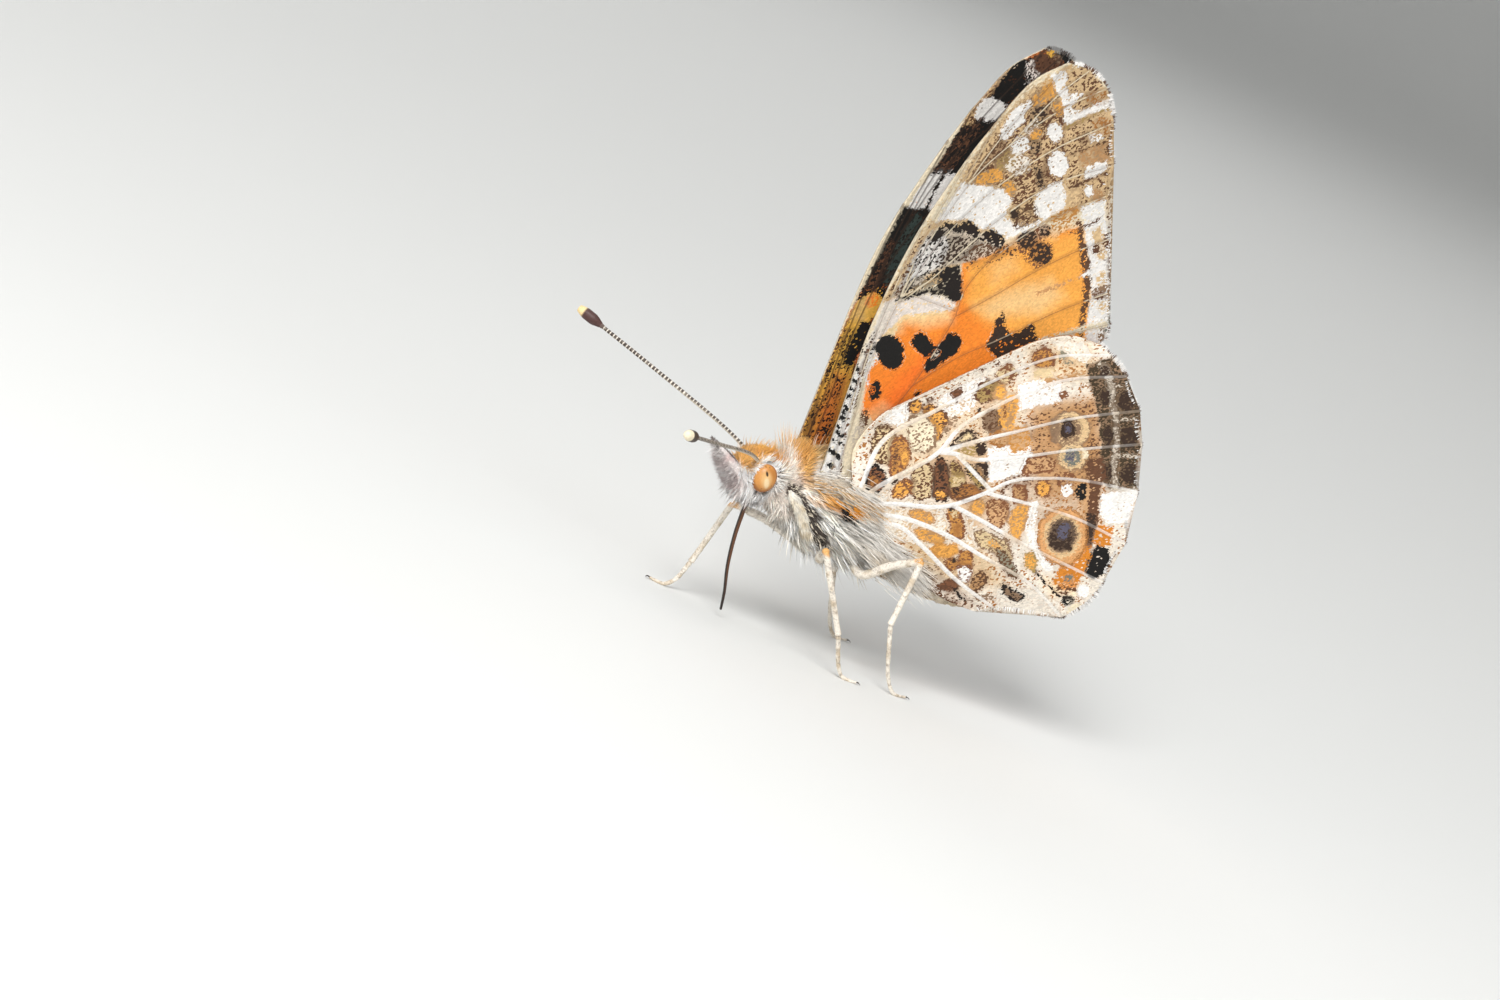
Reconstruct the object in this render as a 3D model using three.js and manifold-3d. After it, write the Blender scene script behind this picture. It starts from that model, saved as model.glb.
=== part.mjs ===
// A painted lady butterfly standing with its wings closed over its back, life size, in millimetres.
// The head points to -X, the insect's left side to -Y and its back to +Z. Its feet stand on z = 0.
// Stance coordinates have x = 0 at the root of the forewings. The finished group is then moved so
// that its origin is the middle of the bottom of its bounding box.
import * as THREE from 'three';
import { mergeVertices } from 'three/addons/utils/BufferGeometryUtils.js';
import Module from 'manifold-3d';

const wasm = await Module();
wasm.setup();

// Driving dimensions
const GAP = 0.3; // between pieces that touch
const WING_THICKNESS = 0.5;
const VEIN_HEIGHT = 0.12; // how far a main vein stands out of each face of the membrane
const VEIN_FOOT = 0.34; // from the crest of a vein to the flat membrane beside it
const SPLAY = Math.tan(THREE.MathUtils.degToRad(9)); // how the wings spread apart backwards
const BODY_SIDES = 22;
const LEG_SIDES = 8;
const THORAX_HALF_WIDTH = 2.3;
const THORAX_HALF_HEIGHT = 3.05;
const ABDOMEN_LENGTH = 9.6;
const ABDOMEN_START = 6.2;
const ABDOMEN_SEGMENTS = 8;
const ABDOMEN_RADIUS = 1.72;
const EYE_HALF = new THREE.Vector3(0.8, 0.56, 0.92);
const EYE_CENTRE = new THREE.Vector3(-3.05, 1.06, 9.58);
const PALP_HALF_WIDTH = 0.3;
const ANTENNA_RADIUS = 0.25;
const CLUB_RADIUS = 0.4;
const CLUB_LENGTH = 1.9;
const PROBOSCIS_RADIUS = 0.25;
const FEMUR_RADIUS = 0.33;
const TIBIA_RADIUS = 0.27;
const TARSUS_RADIUS = 0.25;
const TOE_HEIGHT = 0.12; // height of the tarsus axis where the foot lies on the floor

// Lengthwise stations of the head and thorax: [x, centre height, half width, half height]
const HEAD = [
  [-4.7, 9.45, 0.5, 0.6],
  [-4.4, 9.5, 0.85, 1.0],
  [-3.95, 9.5, 1.05, 1.28],
  [-3.3, 9.52, 1.16, 1.42],
  [-2.7, 9.55, 1.18, 1.42],
  [-2.1, 9.55, 1.05, 1.32],
  [-1.8, 9.55, 0.92, 1.12],
];
const THORAX = [
  [-1.5, 9.6, 1.05, 1.3],
  [-1.15, 9.65, 1.5, 1.85],
  [-0.35, 9.6, 1.85, 2.35],
  [0.9, 9.45, 2.2, 2.9],
  [2.4, 9.15, THORAX_HALF_WIDTH, THORAX_HALF_HEIGHT],
  [3.9, 8.75, 2.15, 2.75],
  [5.1, 8.3, 1.8, 2.2],
  [5.9, 7.95, 1.4, 1.7],
];

// Wing veins as knots [step, x, z] from the root (step 0) to the margin. A vein with a trunk runs
// along that vein up to its first knot, and one that joins the costa follows the costa after that step.
const FOREWING_STEPS = 14;
const FOREWING = [
  { name: 'costa', knots: [[0, -0.2, 11.1], [2, -0.5, 15.0], [5, -1.1, 21.3], [7, -1.05, 26.0],
    [9, -0.35, 30.6], [11, 0.8, 35.3], [13, 2.3, 39.1], [14, 3.7, 40.5]] },
  { name: 'subcosta', knots: [[0, 0.4, 11.0], [2, -0.05, 15.0], [5, -0.65, 21.2], [7, -0.85, 26.0]], joins: 8 },
  { name: 'radial_1', trunk: 'radial_5', leaves: 6, knots: [[8, -0.35, 27.4], [9, -0.1, 30.2]], joins: 10 },
  { name: 'radial_2', trunk: 'radial_5', leaves: 7, knots: [[9, 0.2, 30.0], [10, 0.65, 32.6]], joins: 11 },
  { name: 'radial_3', trunk: 'radial_5', leaves: 9, knots: [[11, 1.6, 34.8], [13, 3.1, 38.7]], joins: 14 },
  { name: 'radial_4', trunk: 'radial_5', leaves: 11, knots: [[13, 4.1, 38.8], [14, 5.2, 40.65]] },
  { name: 'radial_5', knots: [[0, 0.9, 10.9], [2, 0.45, 15.0], [4, -0.1, 18.6], [6, -0.15, 22.8],
    [8, 0.05, 27.0], [9, 0.5, 29.7], [10, 1.2, 32.2], [11, 2.3, 34.4], [13, 5.1, 38.4], [14, 6.7, 40.0]] },
  { name: 'median_1', trunk: 'radial_5', leaves: 6, knots: [[8, 0.7, 27.2], [10, 2.6, 31.5],
    [12, 5.1, 35.2], [14, 8.0, 38.2]] },
  { name: 'median_2', trunk: 'radial_5', leaves: 6, knots: [[7, 1.2, 24.9], [8, 2.0, 26.5],
    [10, 3.9, 30.2], [12, 6.2, 33.4], [14, 9.15, 35.8]] },
  { name: 'median_3', knots: [[0, 1.3, 10.7], [1, 1.65, 13.2], [3, 3.05, 18.4], [5, 3.6, 21.7],
    [6, 3.75, 23.4], [7, 3.6, 25.0], [8, 3.95, 26.5], [10, 5.6, 29.5], [12, 7.5, 31.9], [14, 9.6, 33.9]] },
  { name: 'cubital_1', trunk: 'median_3', leaves: 6, knots: [[8, 5.5, 25.5], [10, 7.3, 27.8],
    [12, 9.1, 29.8], [14, 10.95, 31.5]] },
  { name: 'cubital_2', trunk: 'median_3', leaves: 3, knots: [[5, 4.7, 20.7], [8, 7.0, 23.1],
    [11, 9.9, 26.2], [14, 12.4, 28.4]] },
  { name: 'anal', knots: [[0, 1.75, 10.6], [3, 3.6, 15.6], [6, 6.2, 20.0], [10, 9.5, 23.8], [14, 13.3, 26.6]] },
  { name: 'inner', knots: [[0, 2.1, 10.5], [3, 4.4, 14.4], [6, 6.9, 18.2], [10, 10.3, 22.4], [14, 13.5, 25.5]] },
];
// One cell follows each vein but the last: rows of points in it, and how far its margin bulges out
const FOREWING_CELLS = [[1, 0], [1, 0], [1, 0], [1, 0], [1, 0.05], [3, 0.15], [3, 0.15], [3, -0.1],
  [3, -0.3], [3, -0.15], [3, -0.2], [3, -0.1], [1, 0.05]];
const FOREWING_CROSS = { cell: 8, step: 6 }; // the short vein that closes the discal cell

const HINDWING_STEPS = 12;
const HINDWING = [
  { name: 'costa', knots: [[0, 1.9, 11.3], [1, 1.1, 13.4], [2, 1.5, 15.7], [4, 4.3, 18.6], [6, 6.8, 21.6],
    [8, 8.7, 23.8], [10, 10.9, 25.1], [12, 12.9, 25.3]] },
  { name: 'subcosta', knots: [[0, 2.35, 11.1], [2, 2.6, 14.6], [4, 4.9, 17.6], [6, 7.3, 20.4],
    [9, 10.4, 23.4], [12, 13.7, 24.95]] },
  { name: 'radial', knots: [[0, 2.8, 10.9], [1, 3.5, 12.0], [3, 6.1, 15.3], [4, 6.6, 16.9], [6, 8.5, 19.5],
    [9, 11.6, 22.4], [12, 15.2, 24.1]] },
  { name: 'median_1', trunk: 'radial', leaves: 3, knots: [[5, 8.6, 17.2], [6, 9.9, 18.1], [9, 13.4, 20.5],
    [12, 17.0, 22.4]] },
  { name: 'median_2', trunk: 'radial', leaves: 3, knots: [[4, 7.2, 15.6], [5, 8.6, 15.75], [6, 10.1, 16.4],
    [9, 14.2, 18.6], [12, 18.1, 20.5]] },
  { name: 'median_3', knots: [[0, 3.2, 10.5], [1, 4.8, 11.2], [3, 8.4, 12.5], [4, 10.1, 14.0], [5, 11.1, 15.1],
    [7, 13.4, 16.3], [9, 15.6, 17.0], [12, 19.25, 17.6]] },
  { name: 'cubital_1', trunk: 'median_3', leaves: 4, knots: [[6, 12.6, 14.3], [9, 16.2, 14.6], [12, 20.0, 14.3]] },
  { name: 'cubital_2', trunk: 'median_3', leaves: 3, knots: [[5, 11.1, 12.2], [7, 13.4, 11.9],
    [9, 15.9, 11.7], [12, 19.8, 11.4]] },
  { name: 'anal_2', knots: [[0, 3.6, 10.1], [2, 6.2, 10.65], [4, 9.0, 10.6], [6, 11.5, 10.2],
    [9, 15.3, 9.65], [12, 18.4, 8.35]] },
  { name: 'anal_3', knots: [[0, 3.9, 9.6], [2, 5.9, 10.0], [4, 7.7, 9.4], [7, 10.4, 8.3], [12, 14.0, 7.3]] },
  { name: 'inner', knots: [[0, 4.1, 9.1], [2, 4.9, 8.3], [4, 6.3, 7.75], [7, 8.6, 7.1], [10, 11.3, 6.6],
    [12, 13.1, 6.6]] },
];
const HINDWING_CELLS = [[1, 0.05], [3, 0.15], [3, -0.1], [3, -0.2], [3, -0.2], [3, -0.2], [3, -0.2],
  [3, 0.45], [3, -0.1], [1, -0.2]];
const HINDWING_CROSS = { cell: 4, step: 4 };

// Joints of the walking legs: hip, end of the coxa, knee, ankle, bend of the foot, then its sole from heel to tip
const LEGS = {
  mid_left: [[2.9, -0.9, 6.9], [2.6, -1.7, 6.1], [0.55, -5.5, 7.4], [3.9, -5.5, 2.7], [5.2, -5.15, 0.6],
    [5.75, -5.15, TOE_HEIGHT], [6.65, -5.4, TOE_HEIGHT]],
  mid_right: [[2.8, 0.9, 6.9], [2.5, 1.6, 6.1], [-1.85, 3.3, 6.55], [-2.75, 3.4, 2.1], [-3.2, 3.55, 0.6],
    [-3.7, 3.75, TOE_HEIGHT], [-4.55, 4.2, TOE_HEIGHT]],
  hind_left: [[4.8, -1.0, 7.0], [5.4, -2.3, 6.1], [7.15, -5.5, 8.8], [7.1, -5.4, 4.35], [8.9, -5.0, 0.95],
    [9.75, -4.95, TOE_HEIGHT], [10.7, -4.9, TOE_HEIGHT]],
  hind_right: [[4.8, 1.0, 7.0], [5.5, 2.3, 6.1], [7.6, 5.2, 8.5], [8.3, 5.5, 4.1], [9.5, 5.2, 0.85],
    [10.2, 5.2, TOE_HEIGHT], [11.2, 5.2, TOE_HEIGHT]],
};
const FORELEG = [[1.4, -1.45, 6.75], [0.5, -1.95, 7.65], [-0.5, -2.05, 8.7], [-1.4, -1.7, 9.5]];

const PALP = [[-3.3, -0.46, 8.4], [-4.25, -0.46, 8.95], [-5.3, -0.45, 9.7], [-6.8, -0.42, 10.6]];
const PALP_HALF_HEIGHTS = [0.52, 0.55, 0.4, 0.12];
const ANTENNAE = {
  left: [[-3.5, -0.5, 10.3], [-5.15, -1.95, 10.9], [-9.75, -5.9, 11.6], [-14.25, -9.85, 12.25]],
  right: [[-3.5, 0.5, 10.3], [-5.2, 1.9, 11.1], [-9.85, 5.65, 12.55], [-14.4, 9.25, 13.85]],
};
const PROBOSCIS = [[-3.15, 0, 8.6], [-2.9, 0, 7.4], [-2.65, 0, 5.4], [-2.2, 0, 3.4], [-1.6, 0, 1.7], [-1.3, 0, 0.55]];

const COLOURS = {
  fore: '#d58b3f', hind: '#b9a688', fur: '#b8977a', eye: '#b07a34', shaft: '#5b4a3d',
  leg: '#d9cdb6', tongue: '#2c211b',
};

/** A closed body from points and triangles, with equal points joined and its faces turned outwards. */
function closedBody(points, triangles) {
  const raw = new THREE.BufferGeometry();
  raw.setAttribute('position', new THREE.Float32BufferAttribute(points.flatMap((p) => p.toArray()), 3));
  raw.setIndex(triangles.flat());
  const geometry = mergeVertices(raw, 1e-4);
  const place = geometry.getAttribute('position');
  const index = Array.from(geometry.index.array);
  const corner = (k) => new THREE.Vector3().fromBufferAttribute(place, index[k]);
  const kept = [];
  let volume = 0;
  for (let k = 0; k < index.length; k += 3) {
    const [a, b, c] = index.slice(k, k + 3);
    if (a === b || b === c || c === a) continue;
    kept.push(a, b, c);
    volume += corner(k).dot(corner(k + 1).cross(corner(k + 2)));
  }
  if (volume < 0) kept.reverse();
  geometry.setIndex(kept);
  return geometry;
}

/** Rings of equal count joined into one body, with a flat fan over each end. */
function loft(rings) {
  const sides = rings[0].length;
  const points = rings.flat();
  const triangles = [];
  for (let r = 0; r + 1 < rings.length; r += 1) {
    for (let s = 0; s < sides; s += 1) {
      const a = r * sides + s;
      const b = r * sides + ((s + 1) % sides);
      triangles.push([a, b, a + sides], [b, b + sides, a + sides]);
    }
  }
  [0, rings.length - 1].forEach((r, end) => {
    const centre = rings[r].reduce((sum, p) => sum.add(p), new THREE.Vector3()).divideScalar(sides);
    points.push(centre);
    for (let s = 0; s < sides; s += 1) {
      const a = r * sides + s;
      const b = r * sides + ((s + 1) % sides);
      triangles.push(end === 0 ? [b, a, points.length - 1] : [a, b, points.length - 1]);
    }
  });
  return closedBody(points, triangles);
}

/** The head, thorax or abdomen from its stations. grow makes the same body larger all round. */
function trunkBody(stations, grow = 0) {
  const last = stations.length - 1;
  return loft(stations.map(([x, z, width, height], k) => {
    const along = x + (k === 0 ? -grow : 0) + (k === last ? grow : 0);
    return Array.from({ length: BODY_SIDES }, (_, s) => {
      const angle = (2 * Math.PI * s) / BODY_SIDES;
      return new THREE.Vector3(along, (width + grow) * Math.cos(angle), z + (height + grow) * Math.sin(angle));
    });
  }));
}

/** The abdomen's stations: a spindle of segments, each a little narrower at its joint. */
function abdomenStations() {
  const rows = ABDOMEN_SEGMENTS * 2;
  return Array.from({ length: rows + 1 }, (_, k) => {
    const t = k / rows;
    const swell = 0.78 + 0.22 * Math.sin(Math.PI * Math.min(1, t * 1.6));
    const taper = Math.sqrt(Math.max(0.03, 1 - Math.max(0, (t - 0.3) / 0.72) ** 2.2));
    const joint = k % 2 === 0 ? 0.95 : 1;
    const radius = ABDOMEN_RADIUS * swell * taper * joint;
    return [ABDOMEN_START + ABDOMEN_LENGTH * t, 7.75 - 1.3 * t ** 1.6, radius, radius * 1.06];
  });
}

/** A tapered tube through points. radiusAt gives its [side, upright] radii from t = 0 to 1. */
function taperedTube(points, radiusAt, steps, sides) {
  const curve = new THREE.CatmullRomCurve3(points.map((p) => new THREE.Vector3(...p)), false, 'centripetal');
  const frames = curve.computeFrenetFrames(steps, false);
  return loft(frames.tangents.map((_, k) => {
    const centre = curve.getPointAt(k / steps);
    const [wide, tall] = radiusAt(k / steps);
    return Array.from({ length: sides }, (_unused, s) => {
      const angle = (2 * Math.PI * s) / sides;
      return centre.clone()
        .addScaledVector(frames.normals[k], wide * Math.cos(angle))
        .addScaledVector(frames.binormals[k], tall * Math.sin(angle));
    });
  }));
}

/** Round ends for a tube: the share of the full radius at t, for a tube whose ends round over in cap. */
function rounded(t, cap) {
  const edge = Math.min(t, 1 - t);
  return edge >= cap ? 1 : Math.sqrt(Math.max(0.16, 1 - ((cap - edge) / cap) ** 2));
}

function toSolid(geometry) {
  const bare = geometry.clone();
  bare.deleteAttribute('normal');
  bare.deleteAttribute('uv');
  const merged = mergeVertices(bare, 1e-4);
  return new wasm.Manifold(new wasm.Mesh({
    numProp: 3,
    vertProperties: new Float32Array(merged.getAttribute('position').array),
    triVerts: new Uint32Array(merged.index.array),
  }));
}

/** A geometry less the obstacles, as the largest piece that is left. */
function cutClear(geometry, obstacles) {
  let solid = toSolid(geometry);
  for (const obstacle of obstacles) solid = solid.subtract(toSolid(obstacle));
  const largest = solid.decompose().sort((a, b) => b.volume() - a.volume())[0];
  const mesh = largest.getMesh();
  const cut = new THREE.BufferGeometry();
  cut.setAttribute('position', new THREE.BufferAttribute(new Float32Array(mesh.vertProperties), 3));
  cut.setIndex(Array.from(mesh.triVerts));
  return cut;
}

/** The mirror image of a geometry in the plane y = 0. */
function mirrored(geometry) {
  const other = geometry.clone();
  other.scale(1, -1, 1);
  other.setIndex(Array.from(other.index.array).reverse());
  return other;
}

/** Each vein of a wing as a list of [x, z], one for each step. */
function traceVeins(veins, steps) {
  const traced = {};
  const trace = (vein) => {
    if (traced[vein.name]) return traced[vein.name];
    const trunk = vein.trunk ? trace(veins.find((v) => v.name === vein.trunk)) : null;
    const start = trunk ? [[vein.leaves, ...trunk[vein.leaves]]] : [];
    const end = vein.joins ? [[vein.joins, ...traced.costa[vein.joins]]] : [];
    const knots = [...start, ...vein.knots, ...end];
    const spline = new THREE.CubicInterpolant(knots.map((k) => k[0]), knots.flatMap((k) => k.slice(1)), 2);
    traced[vein.name] = Array.from({ length: steps + 1 }, (_, j) => {
      if (trunk && j <= vein.leaves) return trunk[j];
      if (vein.joins && j >= vein.joins) return traced.costa[j];
      return Array.from(spline.evaluate(j));
    });
    return traced[vein.name];
  };
  return veins.map(trace);
}

/** Rows of points [x, z, ridge height] from the wing's front edge to its hind edge, one row for each vein and line. */
function wingRows(veins, cells, cross, steps) {
  const lines = traceVeins(veins, steps);
  const ridgeAt = (j) => VEIN_HEIGHT * (j === steps ? 0.4 : 1);
  const rows = [];
  lines.forEach((line, v) => {
    rows.push(line.map(([x, z], j) => [x, z, ridgeAt(j)]));
    if (v === lines.length - 1) return;
    const next = lines[v + 1];
    const [count, bulge] = cells[v];
    for (let r = 0; r < count; r += 1) {
      const row = line.map(([x, z], j) => {
        const a = new THREE.Vector2(x, z);
        const b = new THREE.Vector2(...next[j]);
        const width = a.distanceTo(b);
        if (width < 0.02) return [x, z, ridgeAt(j)];
        const foot = Math.min(VEIN_FOOT, width * 0.3);
        const share = count === 1 || r === 1 ? 0.5 : (r === 0 ? foot : width - foot) / width;
        const onCross = cross.cell === v && cross.step === j;
        const point = a.clone().lerp(b, share);
        return [point.x, point.y, onCross ? VEIN_HEIGHT * 0.8 : 0];
      });
      const [inner, outer] = [row[steps - 1], row[steps]];
      const outwards = new THREE.Vector2(outer[0] - inner[0], outer[1] - inner[1]).normalize();
      const reach = count === 1 || r === 1 ? bulge : bulge * 0.5;
      row[steps] = [outer[0] + outwards.x * reach, outer[1] + outwards.y * reach, outer[2]];
      rows.push(row);
    }
  });
  return rows;
}

/** One wing of the left side. lateral gives the distance of the wing's middle from the body's middle plane. */
function wingBody(rows, lateral) {
  const across = rows.length;
  const along = rows[0].length;
  const points = [];
  for (const face of [1, -1]) {
    for (const row of rows) {
      for (const [x, z, ridge] of row) {
        points.push(new THREE.Vector3(x, -lateral(x, z) - face * (WING_THICKNESS / 2 + ridge), z));
      }
    }
  }
  const at = (face, i, j) => (face * across + i) * along + j;
  const triangles = [];
  for (let i = 0; i + 1 < across; i += 1) {
    for (let j = 0; j + 1 < along; j += 1) {
      for (const face of [0, 1]) {
        const square = [at(face, i, j), at(face, i + 1, j), at(face, i + 1, j + 1), at(face, i, j + 1)];
        const [a, b, c, d] = square;
        triangles.push(...(face === 0 ? [[a, b, c], [a, c, d]] : [[a, c, b], [a, d, c]]));
      }
    }
  }
  const rim = [];
  for (let i = 0; i < across; i += 1) rim.push([i, 0]);
  for (let j = 1; j < along; j += 1) rim.push([across - 1, j]);
  for (let i = across - 2; i >= 0; i -= 1) rim.push([i, along - 1]);
  for (let j = along - 2; j > 0; j -= 1) rim.push([0, j]);
  rim.forEach(([i, j], k) => {
    const [m, n] = rim[(k + 1) % rim.length];
    triangles.push([at(0, i, j), at(1, i, j), at(0, m, n)], [at(0, m, n), at(1, i, j), at(1, m, n)]);
  });
  return closedBody(points, triangles);
}

const smoothRise = (d) => (d + Math.sqrt(d * d + 1)) / 2;

function forewingLateral(x, z) {
  const fold = 4.6 * (Math.max(0, z - 11) / 30) ** 1.5;
  return 1.5 + 0.5 * Math.exp(-Math.max(0, z - 10.7) / 5) + SPLAY * smoothRise(x - fold);
}

function hindwingLateral(x, z) {
  const tuck = 0.4 * Math.exp(-((x - 4.0) ** 2 + (z - 9.3) ** 2) / 1.6) + 0.5 / (1 + Math.exp((z - 8.3) * 1.6));
  return 2.9 + SPLAY * smoothRise(x - 2) - tuck;
}

/** An ellipsoid eye on the left side, made larger all round by grow. */
function eyeBody(grow = 0) {
  const eye = new THREE.SphereGeometry(1, 20, 14);
  eye.rotateX(Math.PI / 2);
  eye.scale(EYE_HALF.x + grow, EYE_HALF.y + grow, EYE_HALF.z + grow);
  eye.translate(EYE_CENTRE.x, -EYE_CENTRE.y, EYE_CENTRE.z);
  return eye;
}

function antennaBody(points) {
  const length = new THREE.CatmullRomCurve3(points.map((p) => new THREE.Vector3(...p))).getLength();
  const clubStart = 1 - CLUB_LENGTH / length;
  const radiusAt = (t) => {
    const into = THREE.MathUtils.smoothstep(t, clubStart, clubStart + 0.07);
    const tip = THREE.MathUtils.smoothstep(t, 0.965, 1);
    const radius = (ANTENNA_RADIUS + (CLUB_RADIUS - ANTENNA_RADIUS) * into) * (1 - 0.55 * tip);
    return [radius, radius];
  };
  return taperedTube(points, radiusAt, 44, 8);
}

/** One segment of a leg between two joints, kept short of each by the lengths given. */
function legSegment(joints, radii, startSpace, endSpace) {
  const points = joints.map((p) => new THREE.Vector3(...p));
  const first = points[1].clone().sub(points[0]).normalize();
  const final = points[points.length - 1].clone().sub(points[points.length - 2]).normalize();
  points[0].addScaledVector(first, startSpace);
  points[points.length - 1].addScaledVector(final, -endSpace);
  const radiusAt = (t) => {
    const radius = (radii[0] + (radii[1] - radii[0]) * t) * rounded(t, 0.06);
    return [radius, radius];
  };
  return taperedTube(points.map((p) => p.toArray()), radiusAt, points.length > 2 ? 12 : 8, LEG_SIDES);
}

const part = new THREE.Group();

function addPiece(name, geometry, colour, roughness = 0.8) {
  geometry.computeVertexNormals();
  const material = new THREE.MeshStandardMaterial({ color: colour, roughness, metalness: 0 });
  const mesh = new THREE.Mesh(geometry, material);
  mesh.name = name;
  part.add(mesh);
}

// Body
const tongueTube = (grow) => taperedTube(PROBOSCIS, (t) => {
  const radius = (PROBOSCIS_RADIUS + grow) * (1 - 0.45 * t ** 3);
  return [radius, radius];
}, 16, 8);
const headAround = trunkBody(HEAD, GAP);
const thoraxAround = trunkBody(THORAX, GAP);
const eyeSocket = eyeBody(GAP);
addPiece('head', cutClear(trunkBody(HEAD), [eyeSocket, mirrored(eyeSocket)]), COLOURS.fur);
addPiece('thorax', trunkBody(THORAX), COLOURS.fur);
addPiece('abdomen', trunkBody(abdomenStations()), COLOURS.fur);
addPiece('proboscis', cutClear(tongueTube(0), [headAround]), COLOURS.tongue, 0.4);

// Pieces of the left side, each with its mirror image on the right
const palp = cutClear(taperedTube(PALP, (t) => {
  const k = Math.min(2, Math.floor(t * 3));
  const tall = THREE.MathUtils.lerp(PALP_HALF_HEIGHTS[k], PALP_HALF_HEIGHTS[k + 1], t * 3 - k);
  return [Math.min(PALP_HALF_WIDTH, tall), tall];
}, 12, 10), [headAround, tongueTube(GAP)]);
const forewing = wingBody(wingRows(FOREWING, FOREWING_CELLS, FOREWING_CROSS, FOREWING_STEPS), forewingLateral);
const hindwing = wingBody(wingRows(HINDWING, HINDWING_CELLS, HINDWING_CROSS, HINDWING_STEPS), hindwingLateral);
const foreleg = taperedTube(FORELEG, (t) => {
  const radius = (0.32 - 0.1 * t) * rounded(t, 0.12);
  return [radius, radius];
}, 12, LEG_SIDES);
const pairs = [
  ['eye', eyeBody(), COLOURS.eye, 0.25],
  ['palp', palp, COLOURS.fur, 0.8],
  ['foreleg', cutClear(foreleg, [thoraxAround, headAround]), COLOURS.leg, 0.7],
  ['forewing', cutClear(forewing, [thoraxAround]), COLOURS.fore, 0.7],
  ['hindwing', cutClear(hindwing, [thoraxAround]), COLOURS.hind, 0.7],
];
for (const [name, geometry, colour, roughness] of pairs) {
  addPiece(`${name}_left`, geometry, colour, roughness);
  addPiece(`${name}_right`, mirrored(geometry), colour, roughness);
}

for (const [side, points] of Object.entries(ANTENNAE)) {
  addPiece(`antenna_${side}`, cutClear(antennaBody(points), [headAround]), COLOURS.shaft, 0.6);
}

// Walking legs
const floorBlock = new THREE.BoxGeometry(60, 60, 4);
floorBlock.translate(0, 0, -2);
for (const [name, [hip, coxa, knee, ankle, ...foot]] of Object.entries(LEGS)) {
  const femur = legSegment([hip, coxa, knee], [FEMUR_RADIUS, FEMUR_RADIUS * 0.85], 0, 0);
  const tibia = legSegment([knee, ankle], [TIBIA_RADIUS, TIBIA_RADIUS * 0.9], FEMUR_RADIUS + GAP, GAP / 2);
  const tarsus = legSegment([ankle, ...foot], [TARSUS_RADIUS, TARSUS_RADIUS * 0.75], GAP, 0);
  addPiece(`femur_${name}`, cutClear(femur, [thoraxAround]), COLOURS.leg);
  addPiece(`tibia_${name}`, tibia, COLOURS.leg);
  addPiece(`tarsus_${name}`, cutClear(tarsus, [floorBlock]), COLOURS.leg);
}

const box = new THREE.Box3().setFromObject(part);
part.position.set(-(box.min.x + box.max.x) / 2, -(box.min.y + box.max.y) / 2, -box.min.z);

export default part;
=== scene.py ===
"""The looks of a painted lady butterfly that stands with its wings closed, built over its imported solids.

Lengths in the tables are millimetres in stance coordinates: x = 0 at the root of the forewings, the head
towards -x, the left side towards -y, the floor at z = 0. place() turns them into the frame's metres."""
import math
import bpy
import numpy as np
from mathutils import Matrix, Vector, geometry


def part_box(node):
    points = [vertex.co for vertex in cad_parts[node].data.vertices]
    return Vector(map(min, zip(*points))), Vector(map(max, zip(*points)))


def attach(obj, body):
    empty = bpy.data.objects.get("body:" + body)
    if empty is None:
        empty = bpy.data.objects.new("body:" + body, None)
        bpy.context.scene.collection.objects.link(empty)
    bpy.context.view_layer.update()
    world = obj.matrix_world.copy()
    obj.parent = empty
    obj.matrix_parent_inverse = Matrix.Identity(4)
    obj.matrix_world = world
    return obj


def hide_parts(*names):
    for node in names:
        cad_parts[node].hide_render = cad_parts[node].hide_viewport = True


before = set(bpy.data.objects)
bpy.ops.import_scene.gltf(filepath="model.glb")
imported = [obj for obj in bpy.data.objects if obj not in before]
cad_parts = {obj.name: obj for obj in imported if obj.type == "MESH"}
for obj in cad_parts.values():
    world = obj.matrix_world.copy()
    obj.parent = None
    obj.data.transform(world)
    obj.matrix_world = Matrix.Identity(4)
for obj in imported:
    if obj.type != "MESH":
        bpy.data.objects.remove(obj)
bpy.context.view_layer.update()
SCENE = bpy.context.scene
THORAX_LOW, THORAX_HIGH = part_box("thorax")
SHIFT = np.array([THORAX_LOW.x * 1000 + 1.5, (THORAX_LOW.y + THORAX_HIGH.y) * 500, 0.0])
RANDOM = np.random.default_rng(20)


def place(points):
    """Stance millimetres to the frame's metres."""
    return (np.asarray(points, float) + SHIFT) / 1000


def direction(azimuth, elevation):
    """The way from the model towards a camera or a light, at angles in degrees."""
    a, e = math.radians(azimuth), math.radians(elevation)
    return Vector((math.sin(a) * math.cos(e), -math.cos(a) * math.cos(e), math.sin(e)))


# Camera: the photograph's angle, with its roll. The distance is in mm, the target in stance coordinates
CAMERA = {"azimuth": -30.0, "elevation": 10.0, "roll": 25.0, "distance": 350.0, "target": (-2.72, 0.0, 7.77)}
PIXELS_PER_MM = 16.1
FRAME_WIDTH = 1500
SENSOR_WIDTH = 36.0


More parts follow.
